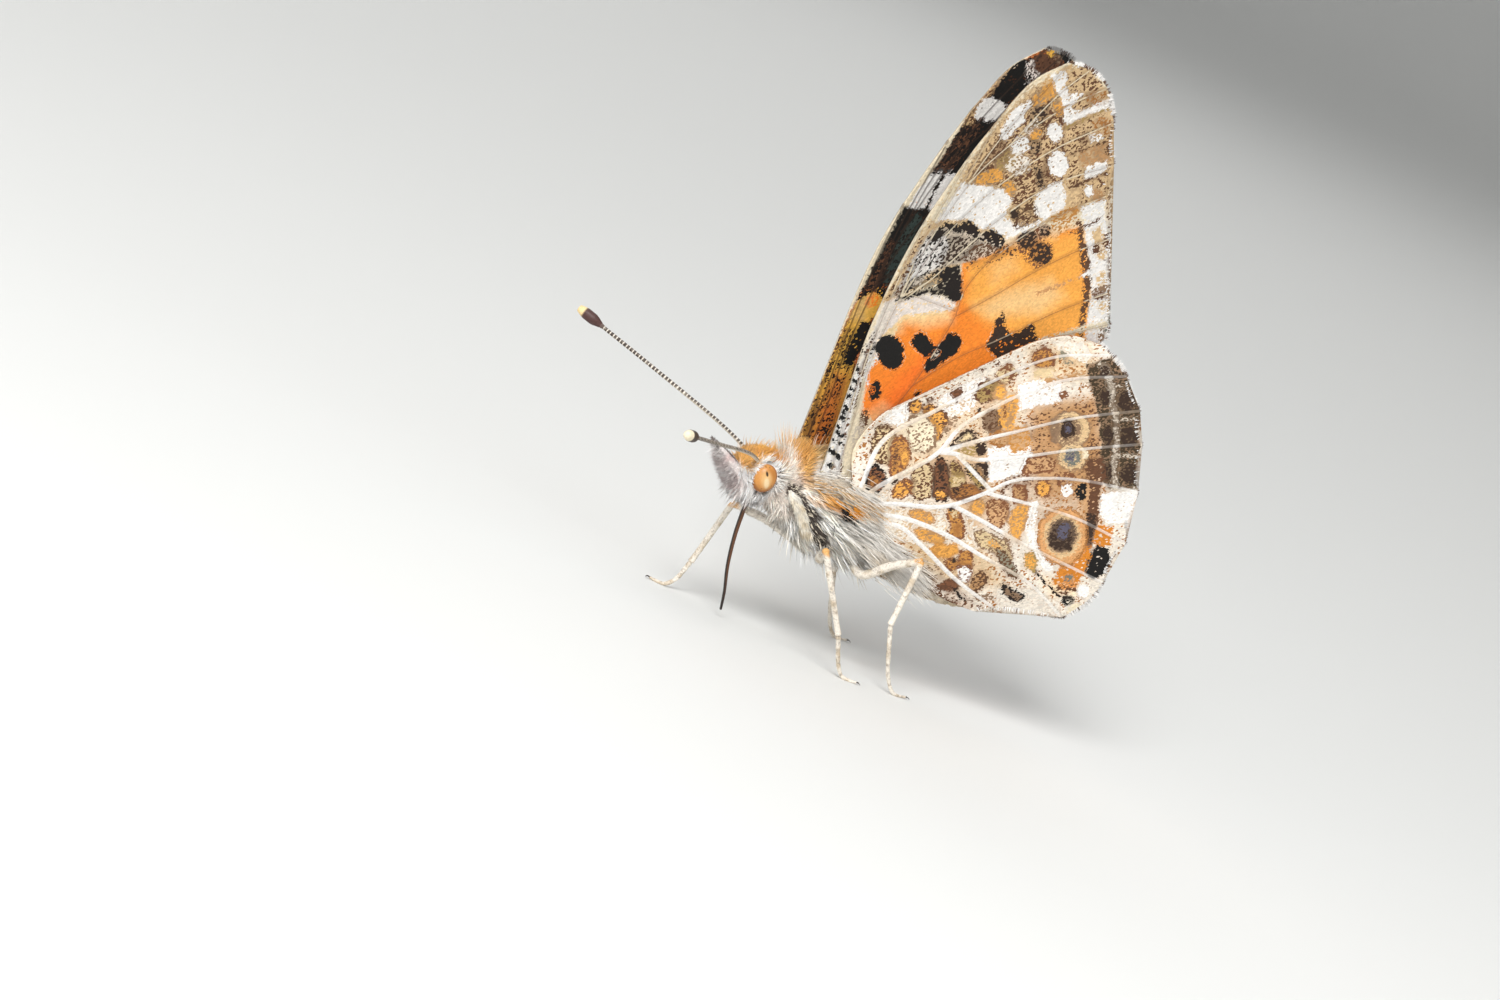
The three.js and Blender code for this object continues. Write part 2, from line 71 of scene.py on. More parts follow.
def make_camera():
    a, r = math.radians(CAMERA["azimuth"]), math.radians(CAMERA["roll"])
    back = direction(CAMERA["azimuth"], CAMERA["elevation"])
    right = Vector((math.cos(a), math.sin(a), 0))
    up = back.cross(right)
    side = right * math.cos(r) + up * math.sin(r)
    top = up * math.cos(r) - right * math.sin(r)
    target = Vector(place(CAMERA["target"]))
    data = bpy.data.cameras.new("camera")
    data.sensor_width = SENSOR_WIDTH
    data.lens = SENSOR_WIDTH * CAMERA["distance"] * PIXELS_PER_MM / FRAME_WIDTH
    data.clip_start = 0.01
    data.clip_end = 20.0
    camera = bpy.data.objects.new("camera", data)
    rotation = Matrix((side, top, back)).transposed().to_4x4()
    camera.matrix_world = Matrix.Translation(target + back * CAMERA["distance"] / 1000) @ rotation
    SCENE.collection.objects.link(camera)
    SCENE.camera = camera
    return target


TARGET = make_camera()


# Colour
def linear(hexcode):
    """A linear RGB colour from its sRGB code."""
    v = np.array([int(hexcode[k:k + 2], 16) / 255 for k in (1, 3, 5)])
    return np.where(v <= 0.04045, v / 12.92, ((v + 0.055) / 1.055) ** 2.4)


PALETTE = {name: linear(code) for name, code in {
    "cream": "#e7d8bb", "shell": "#e5dbcd", "white": "#eeeae5", "buff": "#cdab7c", "sand": "#d6b689",
    "tan": "#b3885b", "straw": "#d6bd92", "olive": "#a48853", "gold": "#e0a04a", "goldbright": "#eab44a",
    "ochre": "#c08642", "ochrebrown": "#a06a35", "umber": "#5f402a", "brown": "#7c4f33", "dusk": "#63402a",
    "sepia": "#36251a", "bark": "#3f3220", "black": "#19100b", "ink": "#20150f", "jet": "#0d0a07",
    "ash": "#c6b9a8", "taupe": "#876b52", "orange": "#f98a28", "amber": "#f9ab4a", "peach": "#fbd79c",
    "peach2": "#d39b64", "ember": "#f6791f", "red": "#f0601c", "rosy": "#efe3d9", "rust": "#cf7f26",
    "fawn": "#c79b6e", "greyolive": "#857e6a", "greygreen": "#74746a", "bluegrey": "#585464",
    "sheen": "#33403b", "ocellus": "#5d4a3b", "orangeup": "#d8752f", "rose": "#dd6a45",
}.items()}


# Noise: one number for each point, smooth over a cell of the given size
def hashed(cells, seed):
    """A number from 0 to 1 for each cell, given by its whole coordinates."""
    word = np.uint64(2**32)
    h = np.full(cells.shape[0], seed * 374761393 % 2**32, np.uint64)
    for k in range(cells.shape[1]):
        h = (h ^ (cells[:, k].astype(np.int64) & 0xFFFFFFFF).astype(np.uint64)) * np.uint64(668265263) % word
        h ^= h >> np.uint64(13)
    h = h * np.uint64(1274126177) % word
    h ^= h >> np.uint64(16)
    return (h % np.uint64(1 << 20)).astype(float) / (1 << 20)


def noise(points, size, seed):
    """Value noise from -1 to 1."""
    p = np.asarray(points, float) / size
    base = np.floor(p)
    f = p - base
    f = f * f * (3 - 2 * f)
    total = np.zeros(len(p))
    dims = p.shape[1]
    for corner in range(1 << dims):
        bits = np.array([(corner >> k) & 1 for k in range(dims)], float)
        weight = np.prod(np.where(bits, f, 1 - f), axis=1)
        total += weight * hashed((base + bits).astype(np.int64), seed)
    return total * 2 - 1


def layered(points, size, seed, octaves=3):
    """Noise in octaves, each with half the cell and half the weight of the one before."""
    return sum(noise(points, size / 2**k, seed + k) / 2**k for k in range(octaves)) / (2 - 2 ** (1 - octaves))


def smooth(v, low, high):
    """From 0 at low to 1 at high, eased at both ends. low may be the larger one."""
    t = np.clip((v - low) / (high - low), 0, 1)
    return t * t * (3 - 2 * t)


def mix(a, b, share):
    """From colours a to colours b, by a share for each point."""
    return a + (b - a) * np.asarray(share)[..., None]


# Curves
def spline(knots, at):
    """A cubic through knots [t, ...values] at the parameters at, with straight ends."""
    knots = np.asarray(knots, float)
    t, v = knots[:, 0], knots[:, 1:]
    slope = np.gradient(v, t, axis=0) if len(t) > 2 else np.repeat((v[1:] - v[:1]) / (t[1] - t[0]), 2, 0)
    k = np.clip(np.searchsorted(t, at, side="right") - 1, 0, len(t) - 2)
    h = (t[k + 1] - t[k])[:, None]
    s = ((at - t[k]) / (t[k + 1] - t[k]))[:, None]
    return ((2 * s**3 - 3 * s**2 + 1) * v[k] + (s**3 - 2 * s**2 + s) * h * slope[k]
            + (-2 * s**3 + 3 * s**2) * v[k + 1] + (s**3 - s**2) * h * slope[k + 1])


def along(points, count):
    """count points spaced evenly along a smooth curve through points."""
    points = np.asarray(points, float)
    t = np.concatenate([[0], np.cumsum(np.linalg.norm(np.diff(points, axis=0), axis=1) ** 0.5)])
    fine = spline(np.column_stack([t, points]), np.linspace(0, t[-1], count * 8))
    length = np.concatenate([[0], np.cumsum(np.linalg.norm(np.diff(fine, axis=0), axis=1))])
    at = np.linspace(0, length[-1], count)
    return np.column_stack([np.interp(at, length, fine[:, k]) for k in range(fine.shape[1])])


def near_line(points, line):
    """The distance of each point to a polyline, and the side of it (+ or -) where the point lies."""
    a, b = line[:-1], line[1:]
    d = b - a
    span = np.maximum((d * d).sum(1), 1e-12)
    best = np.full(len(points), 1e9)
    side = np.zeros(len(points))
    for k in range(len(a)):
        rel = points - a[k]
        s = np.clip(rel @ d[k] / span[k], 0, 1)
        off = rel - s[:, None] * d[k]
        dist = np.hypot(off[:, 0], off[:, 1])
        closer = dist < best
        best[closer] = dist[closer]
        side[closer] = np.sign(d[k, 0] * rel[closer, 1] - d[k, 1] * rel[closer, 0])
    return best, side


def inside(points, polygon):
    """Signed distance to a polygon's edge, positive inside."""
    dist = near_line(points, np.vstack([polygon, polygon[:1]]))[0]
    odd = np.zeros(len(points), bool)
    for (ax, ay), (bx, by) in zip(polygon, np.roll(polygon, -1, axis=0)):
        if ay == by:
            continue
        cross = (ay > points[:, 1]) != (by > points[:, 1])
        odd ^= cross & (points[:, 0] < (bx - ax) * (points[:, 1] - ay) / (by - ay) + ax)
    return np.where(odd, dist, -dist)


def resample(line, spacing):
    """A polyline's points again, evenly spaced."""
    length = np.concatenate([[0], np.cumsum(np.hypot(*np.diff(line, axis=0).T))])
    at = np.linspace(0, length[-1], max(2, int(length[-1] / spacing) + 1))
    return np.column_stack([np.interp(at, length, line[:, 0]), np.interp(at, length, line[:, 1])])


def circle(count):
    """Angles spaced evenly round a circle."""
    return np.linspace(0, 2 * np.pi, count, endpoint=False)


# Meshes
SIDES = (("left", 1), ("right", -1))


def unit(v):
    """Vectors drawn out or in to length 1."""
    return v / np.maximum(np.linalg.norm(v, axis=-1, keepdims=True), 1e-12)


def on_side(points, faces, flip):
    """A mesh of the left side as it is, or its mirror image for the right side, where flip is -1."""
    return (points, faces) if flip == 1 else (points * (1, -1, 1), faces[:, ::-1])


def make_piece(name, points, faces, colours, material, slot, stands_for, patch=None, normals=None):
    """A piece from stance points, triangles or quads, and a colour for each point, or several named layers.
    patch is each point's place in the baked texture, normals the directions that shade it, if given."""
    faces = np.asarray(faces)
    mesh = bpy.data.meshes.new(name)
    mesh.vertices.add(len(points))
    mesh.vertices.foreach_set("co", place(points).astype(np.float32).ravel())
    mesh.loops.add(faces.size)
    mesh.loops.foreach_set("vertex_index", faces.astype(np.int32).ravel())
    mesh.polygons.add(len(faces))
    mesh.polygons.foreach_set("loop_start", np.arange(0, faces.size, faces.shape[1], dtype=np.int32))
    mesh.update(calc_edges=True)
    mesh.polygons.foreach_set("use_smooth", np.full(len(faces), True))
    for layer, values in (colours if isinstance(colours, dict) else {"tint": colours}).items():
        attribute = mesh.color_attributes.new(layer, "FLOAT_COLOR", "POINT")
        rgba = np.ones((len(points), 4), np.float32)
        rgba[:, :3] = np.clip(values, 0, 1)
        attribute.data.foreach_set("color", rgba.ravel())
    if patch is not None:
        uv = mesh.uv_layers.new(name="OFBake")
        uv.data.foreach_set("uv", patch[faces.ravel()].astype(np.float32).ravel())
    mesh.materials.append(material)
    mesh.validate()
    if normals is not None:
        mesh.normals_split_custom_set_from_vertices(normals.astype(np.float32))
    piece = bpy.data.objects.new(name, mesh)
    SCENE.collection.objects.link(piece)
    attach(piece, "root")
    if stands_for:
        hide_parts(*stands_for)


def quads(rows, columns):
    """Faces of a grid of points, rows by columns, that closes across its columns."""
    r, c = np.meshgrid(np.arange(rows - 1), np.arange(columns), indexing="ij")
    n = (c + 1) % columns
    corners = [r * columns + c, r * columns + n, (r + 1) * columns + n, (r + 1) * columns + c]
    return np.stack(corners, -1).reshape(-1, 4)


def as_triangles(faces):
    return np.vstack([faces[:, [0, 1, 2]], faces[:, [0, 2, 3]]])


def tube(centres, radii, sides, upright=(0, 0, 1)):
    """Rings of points round a middle line, [n, sides, 3]. radii may be [n], or [n, 2] for side and upright."""
    centres = np.asarray(centres, float)
    radii = np.asarray(radii, float)
    if radii.ndim == 1:
        radii = np.column_stack([radii, radii])
    along_it = unit(np.gradient(centres, axis=0))
    side = unit(np.cross(along_it, np.broadcast_to(upright, along_it.shape)))
    up = np.cross(side, along_it)
    angle = circle(sides)
    return (centres[:, None] + side[:, None] * (radii[:, :1] * np.cos(angle))[..., None]
            + up[:, None] * (radii[:, 1:] * np.sin(angle))[..., None])


def closed_tube(centres, radii, sides, upright=(0, 0, 1)):
    """A tube's points and triangles, with a fan over each end."""
    rings = tube(centres, radii, sides, upright)
    rows = len(rings)
    faces = as_triangles(quads(rows, sides))
    points = np.vstack([rings.reshape(-1, 3), rings[0].mean(0), rings[-1].mean(0)])
    c = np.arange(sides)
    n = (c + 1) % sides
    first = np.column_stack([np.full(sides, rows * sides), n, c])
    last = np.column_stack([np.full(sides, rows * sides + 1), (rows - 1) * sides + c, (rows - 1) * sides + n])
    return points, np.vstack([faces, first, last])


# Materials
class Graph:
    """The nodes of one material."""

    def __init__(self, name, roughness, specular, sheen=0.0, coat=0.0):
        self.material = bpy.data.materials.new(name)
        self.material.use_nodes = True
        self.tree = self.material.node_tree
        self.shader = self.tree.nodes["Principled BSDF"]
        for socket, value in (("Roughness", roughness), ("Specular IOR Level", specular),
                              ("Sheen Weight", sheen), ("Sheen Roughness", 0.6), ("Coat Weight", coat)):
            self.shader.inputs[socket].default_value = value

    def node(self, kind, links=(), **values):
        made = self.tree.nodes.new(kind)
        for key, value in values.items():
            setattr(made, key, value)
        for socket, source in links:
            if isinstance(source, (int, float, tuple)):
                made.inputs[socket].default_value = source
            else:
                self.tree.links.new(source, made.inputs[socket])
        return made

    def points(self, layer):
        return self.node("ShaderNodeVertexColor", layer_name=layer).outputs["Color"]

    def number(self, operation, a, b):
        return self.node("ShaderNodeMath", ((0, a), (1, b)), operation=operation).outputs[0]

    def blend(self, factor, a, b):
        made = self.node("ShaderNodeMix", data_type="RGBA")
        for socket, source in ((made.inputs["Factor"], factor), (made.inputs[6], a), (made.inputs[7], b)):
            self.tree.links.new(source, socket)
        return made.outputs[2]

    def range(self, source, low, high, to_low, to_high):
        return self.node("ShaderNodeMapRange", (("Value", source), ("From Min", low), ("From Max", high),
                                                ("To Min", to_low), ("To Max", to_high))).outputs["Result"]

    def finish(self, colour, value, height, relief, strength=0.8):
        shade = self.node("ShaderNodeHueSaturation", (("Color", colour), ("Value", value)))
        bump = self.node("ShaderNodeBump", (("Strength", strength), ("Distance", relief / 1000),
                                            ("Height", height)))
        self.tree.links.new(shade.outputs["Color"], self.shader.inputs["Base Color"])
        self.tree.links.new(bump.outputs["Normal"], self.shader.inputs["Normal"])
        return self.material


def surface(name, roughness, grain, relief, contrast, sheen=0.0, specular=0.4, coat=0.0):
    """A material that takes its markings from the piece's own points and breaks them up with noise.
    grain is the size in mm of the noise and of its relief, relief its height in mm, contrast its strength."""
    graph = Graph(name, roughness, specular, sheen, coat)
    where = graph.node("ShaderNodeTexCoord").outputs["Object"]
    noisy = graph.node("ShaderNodeTexNoise", (("Scale", 1000 / grain), ("Detail", 3.0), ("Vector", where)))
    fine = noisy.outputs["Fac"]
    value = graph.range(fine, 0.3, 0.7, 1 - contrast, 1 + contrast)
    return graph.finish(graph.points("tint"), value, fine, relief)


# The width of a wing scale in mm, and how many half widths of a vein the layer "weave" reaches
SCALE_WIDTH = 0.085
VEIN_REACH = 4.0


def wing_scales(name, lie):
    """Wing scales: small cells drawn out along the wing, each wholly in the ground's colour or in that of the
    flecks, and fine veins. lie is the scales' direction in degrees from upright."""
    graph = Graph(name, 0.72, 0.25, 0.05)
    where = graph.node("ShaderNodeTexCoord").outputs["Object"]
    turned = graph.node("ShaderNodeMapping", (("Vector", where), ("Rotation", (0.0, math.radians(lie), 0.0)),
                                              ("Scale", (0.001, 0.001, 0.0017))), vector_type="TEXTURE")
    cells = graph.node("ShaderNodeTexVoronoi", (("Vector", turned.outputs["Vector"]),
                                                ("Scale", 1 / SCALE_WIDTH)))
    chance = graph.node("ShaderNodeSeparateColor", (("Color", cells.outputs["Color"]),))
    weave = graph.node("ShaderNodeSeparateColor", (("Color", graph.points("weave")),))
    is_fleck = graph.number("LESS_THAN", chance.outputs[0], weave.outputs[0])
    colour = graph.blend(is_fleck, graph.points("tint"), graph.points("fleck"))
    from_vein = graph.number("MULTIPLY", weave.outputs[1], VEIN_REACH)
    on_vein = graph.range(from_vein, 0.8, 1.15, 1.0, 0.0)
    colour = graph.blend(on_vein, colour, graph.points("rib"))
    value = graph.range(chance.outputs[1], 0.0, 1.0, 0.84, 1.12)
    return graph.finish(colour, value, cells.outputs["Distance"], 0.02, strength=0.5)


FORE_SCALES = wing_scales("forewing scales", 30)
HIND_SCALES = wing_scales("hindwing scales", 55)
HAIR = surface("hair", 0.7, 0.12, 0.01, contrast=0.08, sheen=0.1, specular=0.25)
SKIN = surface("skin", 0.85, 0.15, 0.05, contrast=0.2)
CHITIN = surface("chitin", 0.5, 0.08, 0.02, contrast=0.15, specular=0.5)
LENS = surface("lens", 0.36, 0.07, 0.003, contrast=0.06, specular=0.4, coat=0.05)

# Wings. Veins: name, trunk, step where it leaves the trunk, step where it joins the costa, knots [step, x, z].
# Bulges: how far the margin swells out between each vein's end and the next one's.
FOREWING_STEPS = 14
FOREWING = [
    ("costa", None, 0, 0, [[0, -0.2, 11.1], [2, -0.5, 15.0], [5, -1.1, 21.3], [7, -1.05, 26.0],
                           [9, -0.35, 30.6], [11, 0.8, 35.3], [13, 2.3, 39.1], [14, 3.7, 40.5]]),
    ("subcosta", None, 0, 8, [[0, 0.4, 11.0], [2, -0.05, 15.0], [5, -0.65, 21.2], [7, -0.85, 26.0]]),
    ("radial_1", "radial_5", 6, 10, [[8, -0.35, 27.4], [9, -0.1, 30.2]]),
    ("radial_2", "radial_5", 7, 11, [[9, 0.2, 30.0], [10, 0.65, 32.6]]),
    ("radial_3", "radial_5", 9, 14, [[11, 1.6, 34.8], [13, 3.1, 38.7]]),
    ("radial_4", "radial_5", 11, 0, [[13, 4.1, 38.8], [14, 5.2, 40.65]]),
    ("radial_5", None, 0, 0, [[0, 0.9, 10.9], [2, 0.45, 15.0], [4, -0.1, 18.6], [6, -0.15, 22.8],
                              [8, 0.05, 27.0], [9, 0.5, 29.7], [10, 1.2, 32.2], [11, 2.3, 34.4],
                              [13, 5.1, 38.4], [14, 6.7, 40.0]]),
    ("median_1", "radial_5", 6, 0, [[8, 0.7, 27.2], [10, 2.6, 31.5], [12, 5.1, 35.2], [14, 8.0, 38.2]]),
    ("median_2", "radial_5", 6, 0, [[7, 1.2, 24.9], [8, 2.0, 26.5], [10, 3.9, 30.2], [12, 6.2, 33.4],
                                    [14, 9.15, 35.8]]),
    ("median_3", None, 0, 0, [[0, 1.3, 10.7], [1, 1.65, 13.2], [3, 3.05, 18.4], [5, 3.6, 21.7],
                              [6, 3.75, 23.4], [7, 3.6, 25.0], [8, 3.95, 26.5], [10, 5.6, 29.5],
                              [12, 7.5, 31.9], [14, 9.6, 33.9]]),
    ("cubital_1", "median_3", 6, 0, [[8, 5.5, 25.5], [10, 7.3, 27.8], [12, 9.1, 29.8], [14, 10.95, 31.5]]),
    ("cubital_2", "median_3", 3, 0, [[5, 4.7, 20.7], [8, 7.0, 23.1], [11, 9.9, 26.2], [14, 12.4, 28.4]]),
    ("anal", None, 0, 0, [[0, 1.75, 10.6], [3, 3.6, 15.6], [6, 6.2, 20.0], [10, 9.5, 23.8], [14, 13.3, 26.6]]),
    ("inner", None, 0, 0, [[0, 2.1, 10.5], [3, 4.4, 14.4], [6, 6.9, 18.2], [10, 10.3, 22.4], [14, 13.5, 25.5]]),
]
FOREWING_BULGES = [0, 0, 0, 0, 0.05, 0.15, 0.15, -0.1, -0.3, -0.15, -0.2, -0.1, 0.05]
HINDWING_STEPS = 12
HINDWING = [
    ("costa", None, 0, 0, [[0, 1.9, 11.3], [1, 1.1, 13.4], [2, 1.5, 15.7], [4, 4.3, 18.6], [6, 6.8, 21.6],
                           [8, 8.7, 23.8], [10, 10.9, 25.1], [12, 12.9, 25.3]]),
    ("subcosta", None, 0, 0, [[0, 2.35, 11.1], [2, 2.6, 14.6], [4, 4.9, 17.6], [6, 7.3, 20.4], [9, 10.4, 23.4],
                              [12, 13.7, 24.95]]),
    ("radial", None, 0, 0, [[0, 2.8, 10.9], [1, 3.5, 12.0], [3, 6.1, 15.3], [4, 6.6, 16.9], [6, 8.5, 19.5],
                            [9, 11.6, 22.4], [12, 15.2, 24.1]]),
    ("median_1", "radial", 3, 0, [[5, 8.6, 17.2], [6, 9.9, 18.1], [9, 13.4, 20.5], [12, 17.0, 22.4]]),
    ("median_2", "radial", 3, 0, [[4, 7.2, 15.6], [5, 8.6, 15.75], [6, 10.1, 16.4], [9, 14.2, 18.6],
                                  [12, 18.1, 20.5]]),
    ("median_3", None, 0, 0, [[0, 3.2, 10.5], [1, 4.8, 11.2], [3, 8.4, 12.5], [4, 10.1, 14.0], [5, 11.1, 15.1],
                              [7, 13.4, 16.3], [9, 15.6, 17.0], [12, 19.25, 17.6]]),
    ("cubital_1", "median_3", 4, 0, [[6, 12.6, 14.3], [9, 16.2, 14.6], [12, 20.0, 14.3]]),
    ("cubital_2", "median_3", 3, 0, [[5, 11.1, 12.2], [7, 13.4, 11.9], [9, 15.9, 11.7], [12, 19.8, 11.4]]),
    ("anal_2", None, 0, 0, [[0, 3.6, 10.1], [2, 6.2, 10.65], [4, 9.0, 10.6], [6, 11.5, 10.2], [9, 15.3, 9.65],
                            [12, 18.4, 8.35]]),
    ("anal_3", None, 0, 0, [[0, 3.9, 9.6], [2, 5.9, 10.0], [4, 7.7, 9.4], [7, 10.4, 8.3], [12, 14.0, 7.3]]),
    ("inner", None, 0, 0, [[0, 4.1, 9.1], [2, 4.9, 8.3], [4, 6.3, 7.75], [7, 8.6, 7.1], [10, 11.3, 6.6],
                           [12, 13.1, 6.6]]),
]
HINDWING_BULGES = [0.05, 0.15, -0.1, -0.2, -0.2, -0.2, -0.2, 0.45, -0.1, -0.2]
# Short veins that close the cells: [vein, step, vein, step]
FOREWING_CROSS = [("median_2", 6.4, "median_3", 6.2), ("radial_5", 6.2, "median_2", 7.0)]
HINDWING_CROSS = [("median_2", 4.0, "median_3", 4.2)]
# How steeply the wings lean away from the middle towards the tail
SPLAY = math.tan(math.radians(9))


def smooth_rise(d):
    """0 far below d = 0 and d far above it, with a soft bend between."""
    return (d + np.sqrt(d * d + 1)) / 2


def forewing_lateral(x, z):
    """How far the forewings stand from the middle plane."""
    fold = 4.6 * (np.maximum(0, z - 11) / 30) ** 1.5
    return 1.5 + 0.5 * np.exp(-np.maximum(0, z - 10.7) / 5) + SPLAY * smooth_rise(x - fold)


def hindwing_lateral(x, z):
    """How far the hindwings stand from the middle plane, with a tuck where they meet the body."""
    tuck = 0.4 * np.exp(-((x - 4.0) ** 2 + (z - 9.3) ** 2) / 1.6) + 0.5 / (1 + np.exp((z - 8.3) * 1.6))
    return 2.9 + SPLAY * smooth_rise(x - 2) - tuck


# How many points a vein has between two steps
POINTS_PER_STEP = 10


def trace_veins(veins, steps):
    """Fine polylines: each vein's whole length from the root by its name, and a list of (name, own stretch)."""
    whole = {}
    out = []
    order = sorted(veins, key=lambda v: (v[1] is not None, v[0] != "costa"))
    at = np.arange(steps * POINTS_PER_STEP + 1) / POINTS_PER_STEP
    for name, trunk, leaves, joins, knots in order:
        knots = [list(k) for k in knots]
        if trunk:
            knots.insert(0, [leaves, *whole[trunk][leaves * POINTS_PER_STEP]])
        if joins:
            knots.append([joins, *whole["costa"][joins * POINTS_PER_STEP]])
        line = spline(knots, at)
        if trunk:
            line[: leaves * POINTS_PER_STEP + 1] = whole[trunk][: leaves * POINTS_PER_STEP + 1]
        if joins:
            line[joins * POINTS_PER_STEP:] = whole["costa"][joins * POINTS_PER_STEP:]
        whole[name] = line
        last = (joins or steps) * POINTS_PER_STEP + 1
        out.append((name, line[leaves * POINTS_PER_STEP: last]))
    return whole, out


def wing_outline(veins, whole, bulges):
    """The edge of a wing, and the stretch of it that is the outer margin, with a small point at each vein."""
    names = [v[0] for v in veins]
    costa, inner = whole["costa"], whole["inner"]
    margin = []
    for k, bulge in enumerate(bulges):
        a, b = whole[names[k]], whole[names[k + 1]]
        if np.hypot(*(a[-1] - b[-1])) < 0.05:
            continue
        out = unit((a[-1] - a[-8]) + (b[-1] - b[-8]))
        t = np.arange(0, 1, 1 / 14)
        reach = bulge * 4 * t * (1 - t) + 0.10 * np.exp(-t / 0.1) + 0.10 * np.exp((t - 1) / 0.1)
        margin.append(a[-1] + (b[-1] - a[-1]) * t[:, None] + out * reach[:, None])
    margin = np.vstack(margin)
    edge = np.vstack([costa[:-1], margin, inner[::-1]])
    return edge, margin


# How far a cell or a patch spreads beyond its outline, and the distance that stands for "far away"
CELL_GROWTH = 0.09
FAR = 9.0


def mark_depth(points, kind, data):
    """How far each point lies inside a mark, in mm, negative outside it."""
    if kind in ("spot", "patch"):
        x, z, a, b, angle = data
        c, s = math.cos(math.radians(angle)), math.sin(math.radians(angle))
        rel = points - (x, z)
        r = np.hypot((rel[:, 0] * c + rel[:, 1] * s) / a, (rel[:, 1] * c - rel[:, 0] * s) / b)
        return (1 - r) * math.sqrt(a * b)
    outline = np.array(data[1:] if kind == "line" else data)
    near = ((points > outline.min(0) - 1) & (points < outline.max(0) + 1)).all(1)
    depth = np.full(len(points), -FAR)
    if kind == "line":
        depth[near] = data[0] / 2 - near_line(points[near], outline)[0]
    else:
        depth[near] = inside(points[near], outline)
    return depth


def paint(points, marks, seed):
    """The ground's colour at each point, that of its flecks, and the flecks' share, from a list of marks.
    A mark is (kind, colour, share of what it covers left bare, data). A cell and a patch have two colours,
    of their middle and of their rim, and their number is the share of flecks in the middle."""
    tint = np.broadcast_to(PALETTE["cream"], (len(points), 3)).copy()
    fleck = tint.copy()
    share = np.zeros(len(points))
    wander = layered(points, 0.45, seed, 3)
    fine = noise(points, 0.16, seed + 9)
    blotchy = 1 + 0.45 * layered(points, 0.5, seed + 17, 2)
    for kind, name, bare, data in marks:
        depth = mark_depth(points, kind, data)
        if kind == "soft":
            cover = smooth(depth + 0.2 * wander, -0.7, 0.7) * (1 - bare)
            tint, fleck = mix(tint, PALETTE[name], cover), mix(fleck, PALETTE[name], cover)
            continue
        ground = mix(tint, fleck, share)
        if kind in ("patch", "cell"):
            fill, rim = name
            depth = depth + CELL_GROWTH + 0.04 * wander + 0.03 * fine
            cover = smooth(depth, -0.06, 0.06)
            edge = 0.85 * np.exp(-(depth / np.where(depth > 0, 0.13, 0.09)) ** 2) * blotchy
            amount = np.where(depth > 0, np.maximum(edge, bare * blotchy), edge)
            near = depth > -0.25
            tint[near] = mix(ground, PALETTE[fill], cover)[near]
            fleck[near] = PALETTE[rim]
            share[near] = np.clip(amount, 0, 0.97)[near]
            continue
        cover = smooth(depth + 0.08 * wander + 0.05 * fine, -0.09, 0.07)
        amount = cover * np.clip(1 - bare * (2 - blotchy), 0, 1)
        near = cover > 0.005
        tint[near] = ground[near]
        fleck[near] = PALETTE[name]
        share[near] = amount[near]
    return tint, fleck, share


# A wing's mesh in mm: its spacing, the rows of beads beside each vein, the least gap between two beads, and as
# shares of the spacing the height of a row of triangles and the margin that stays clear inside the edge
WING_SPACING = 0.094
BEAD_ROW, BEAD_GAP = 0.085, 0.03
ROW_HEIGHT, CLEAR = 0.866, 0.55


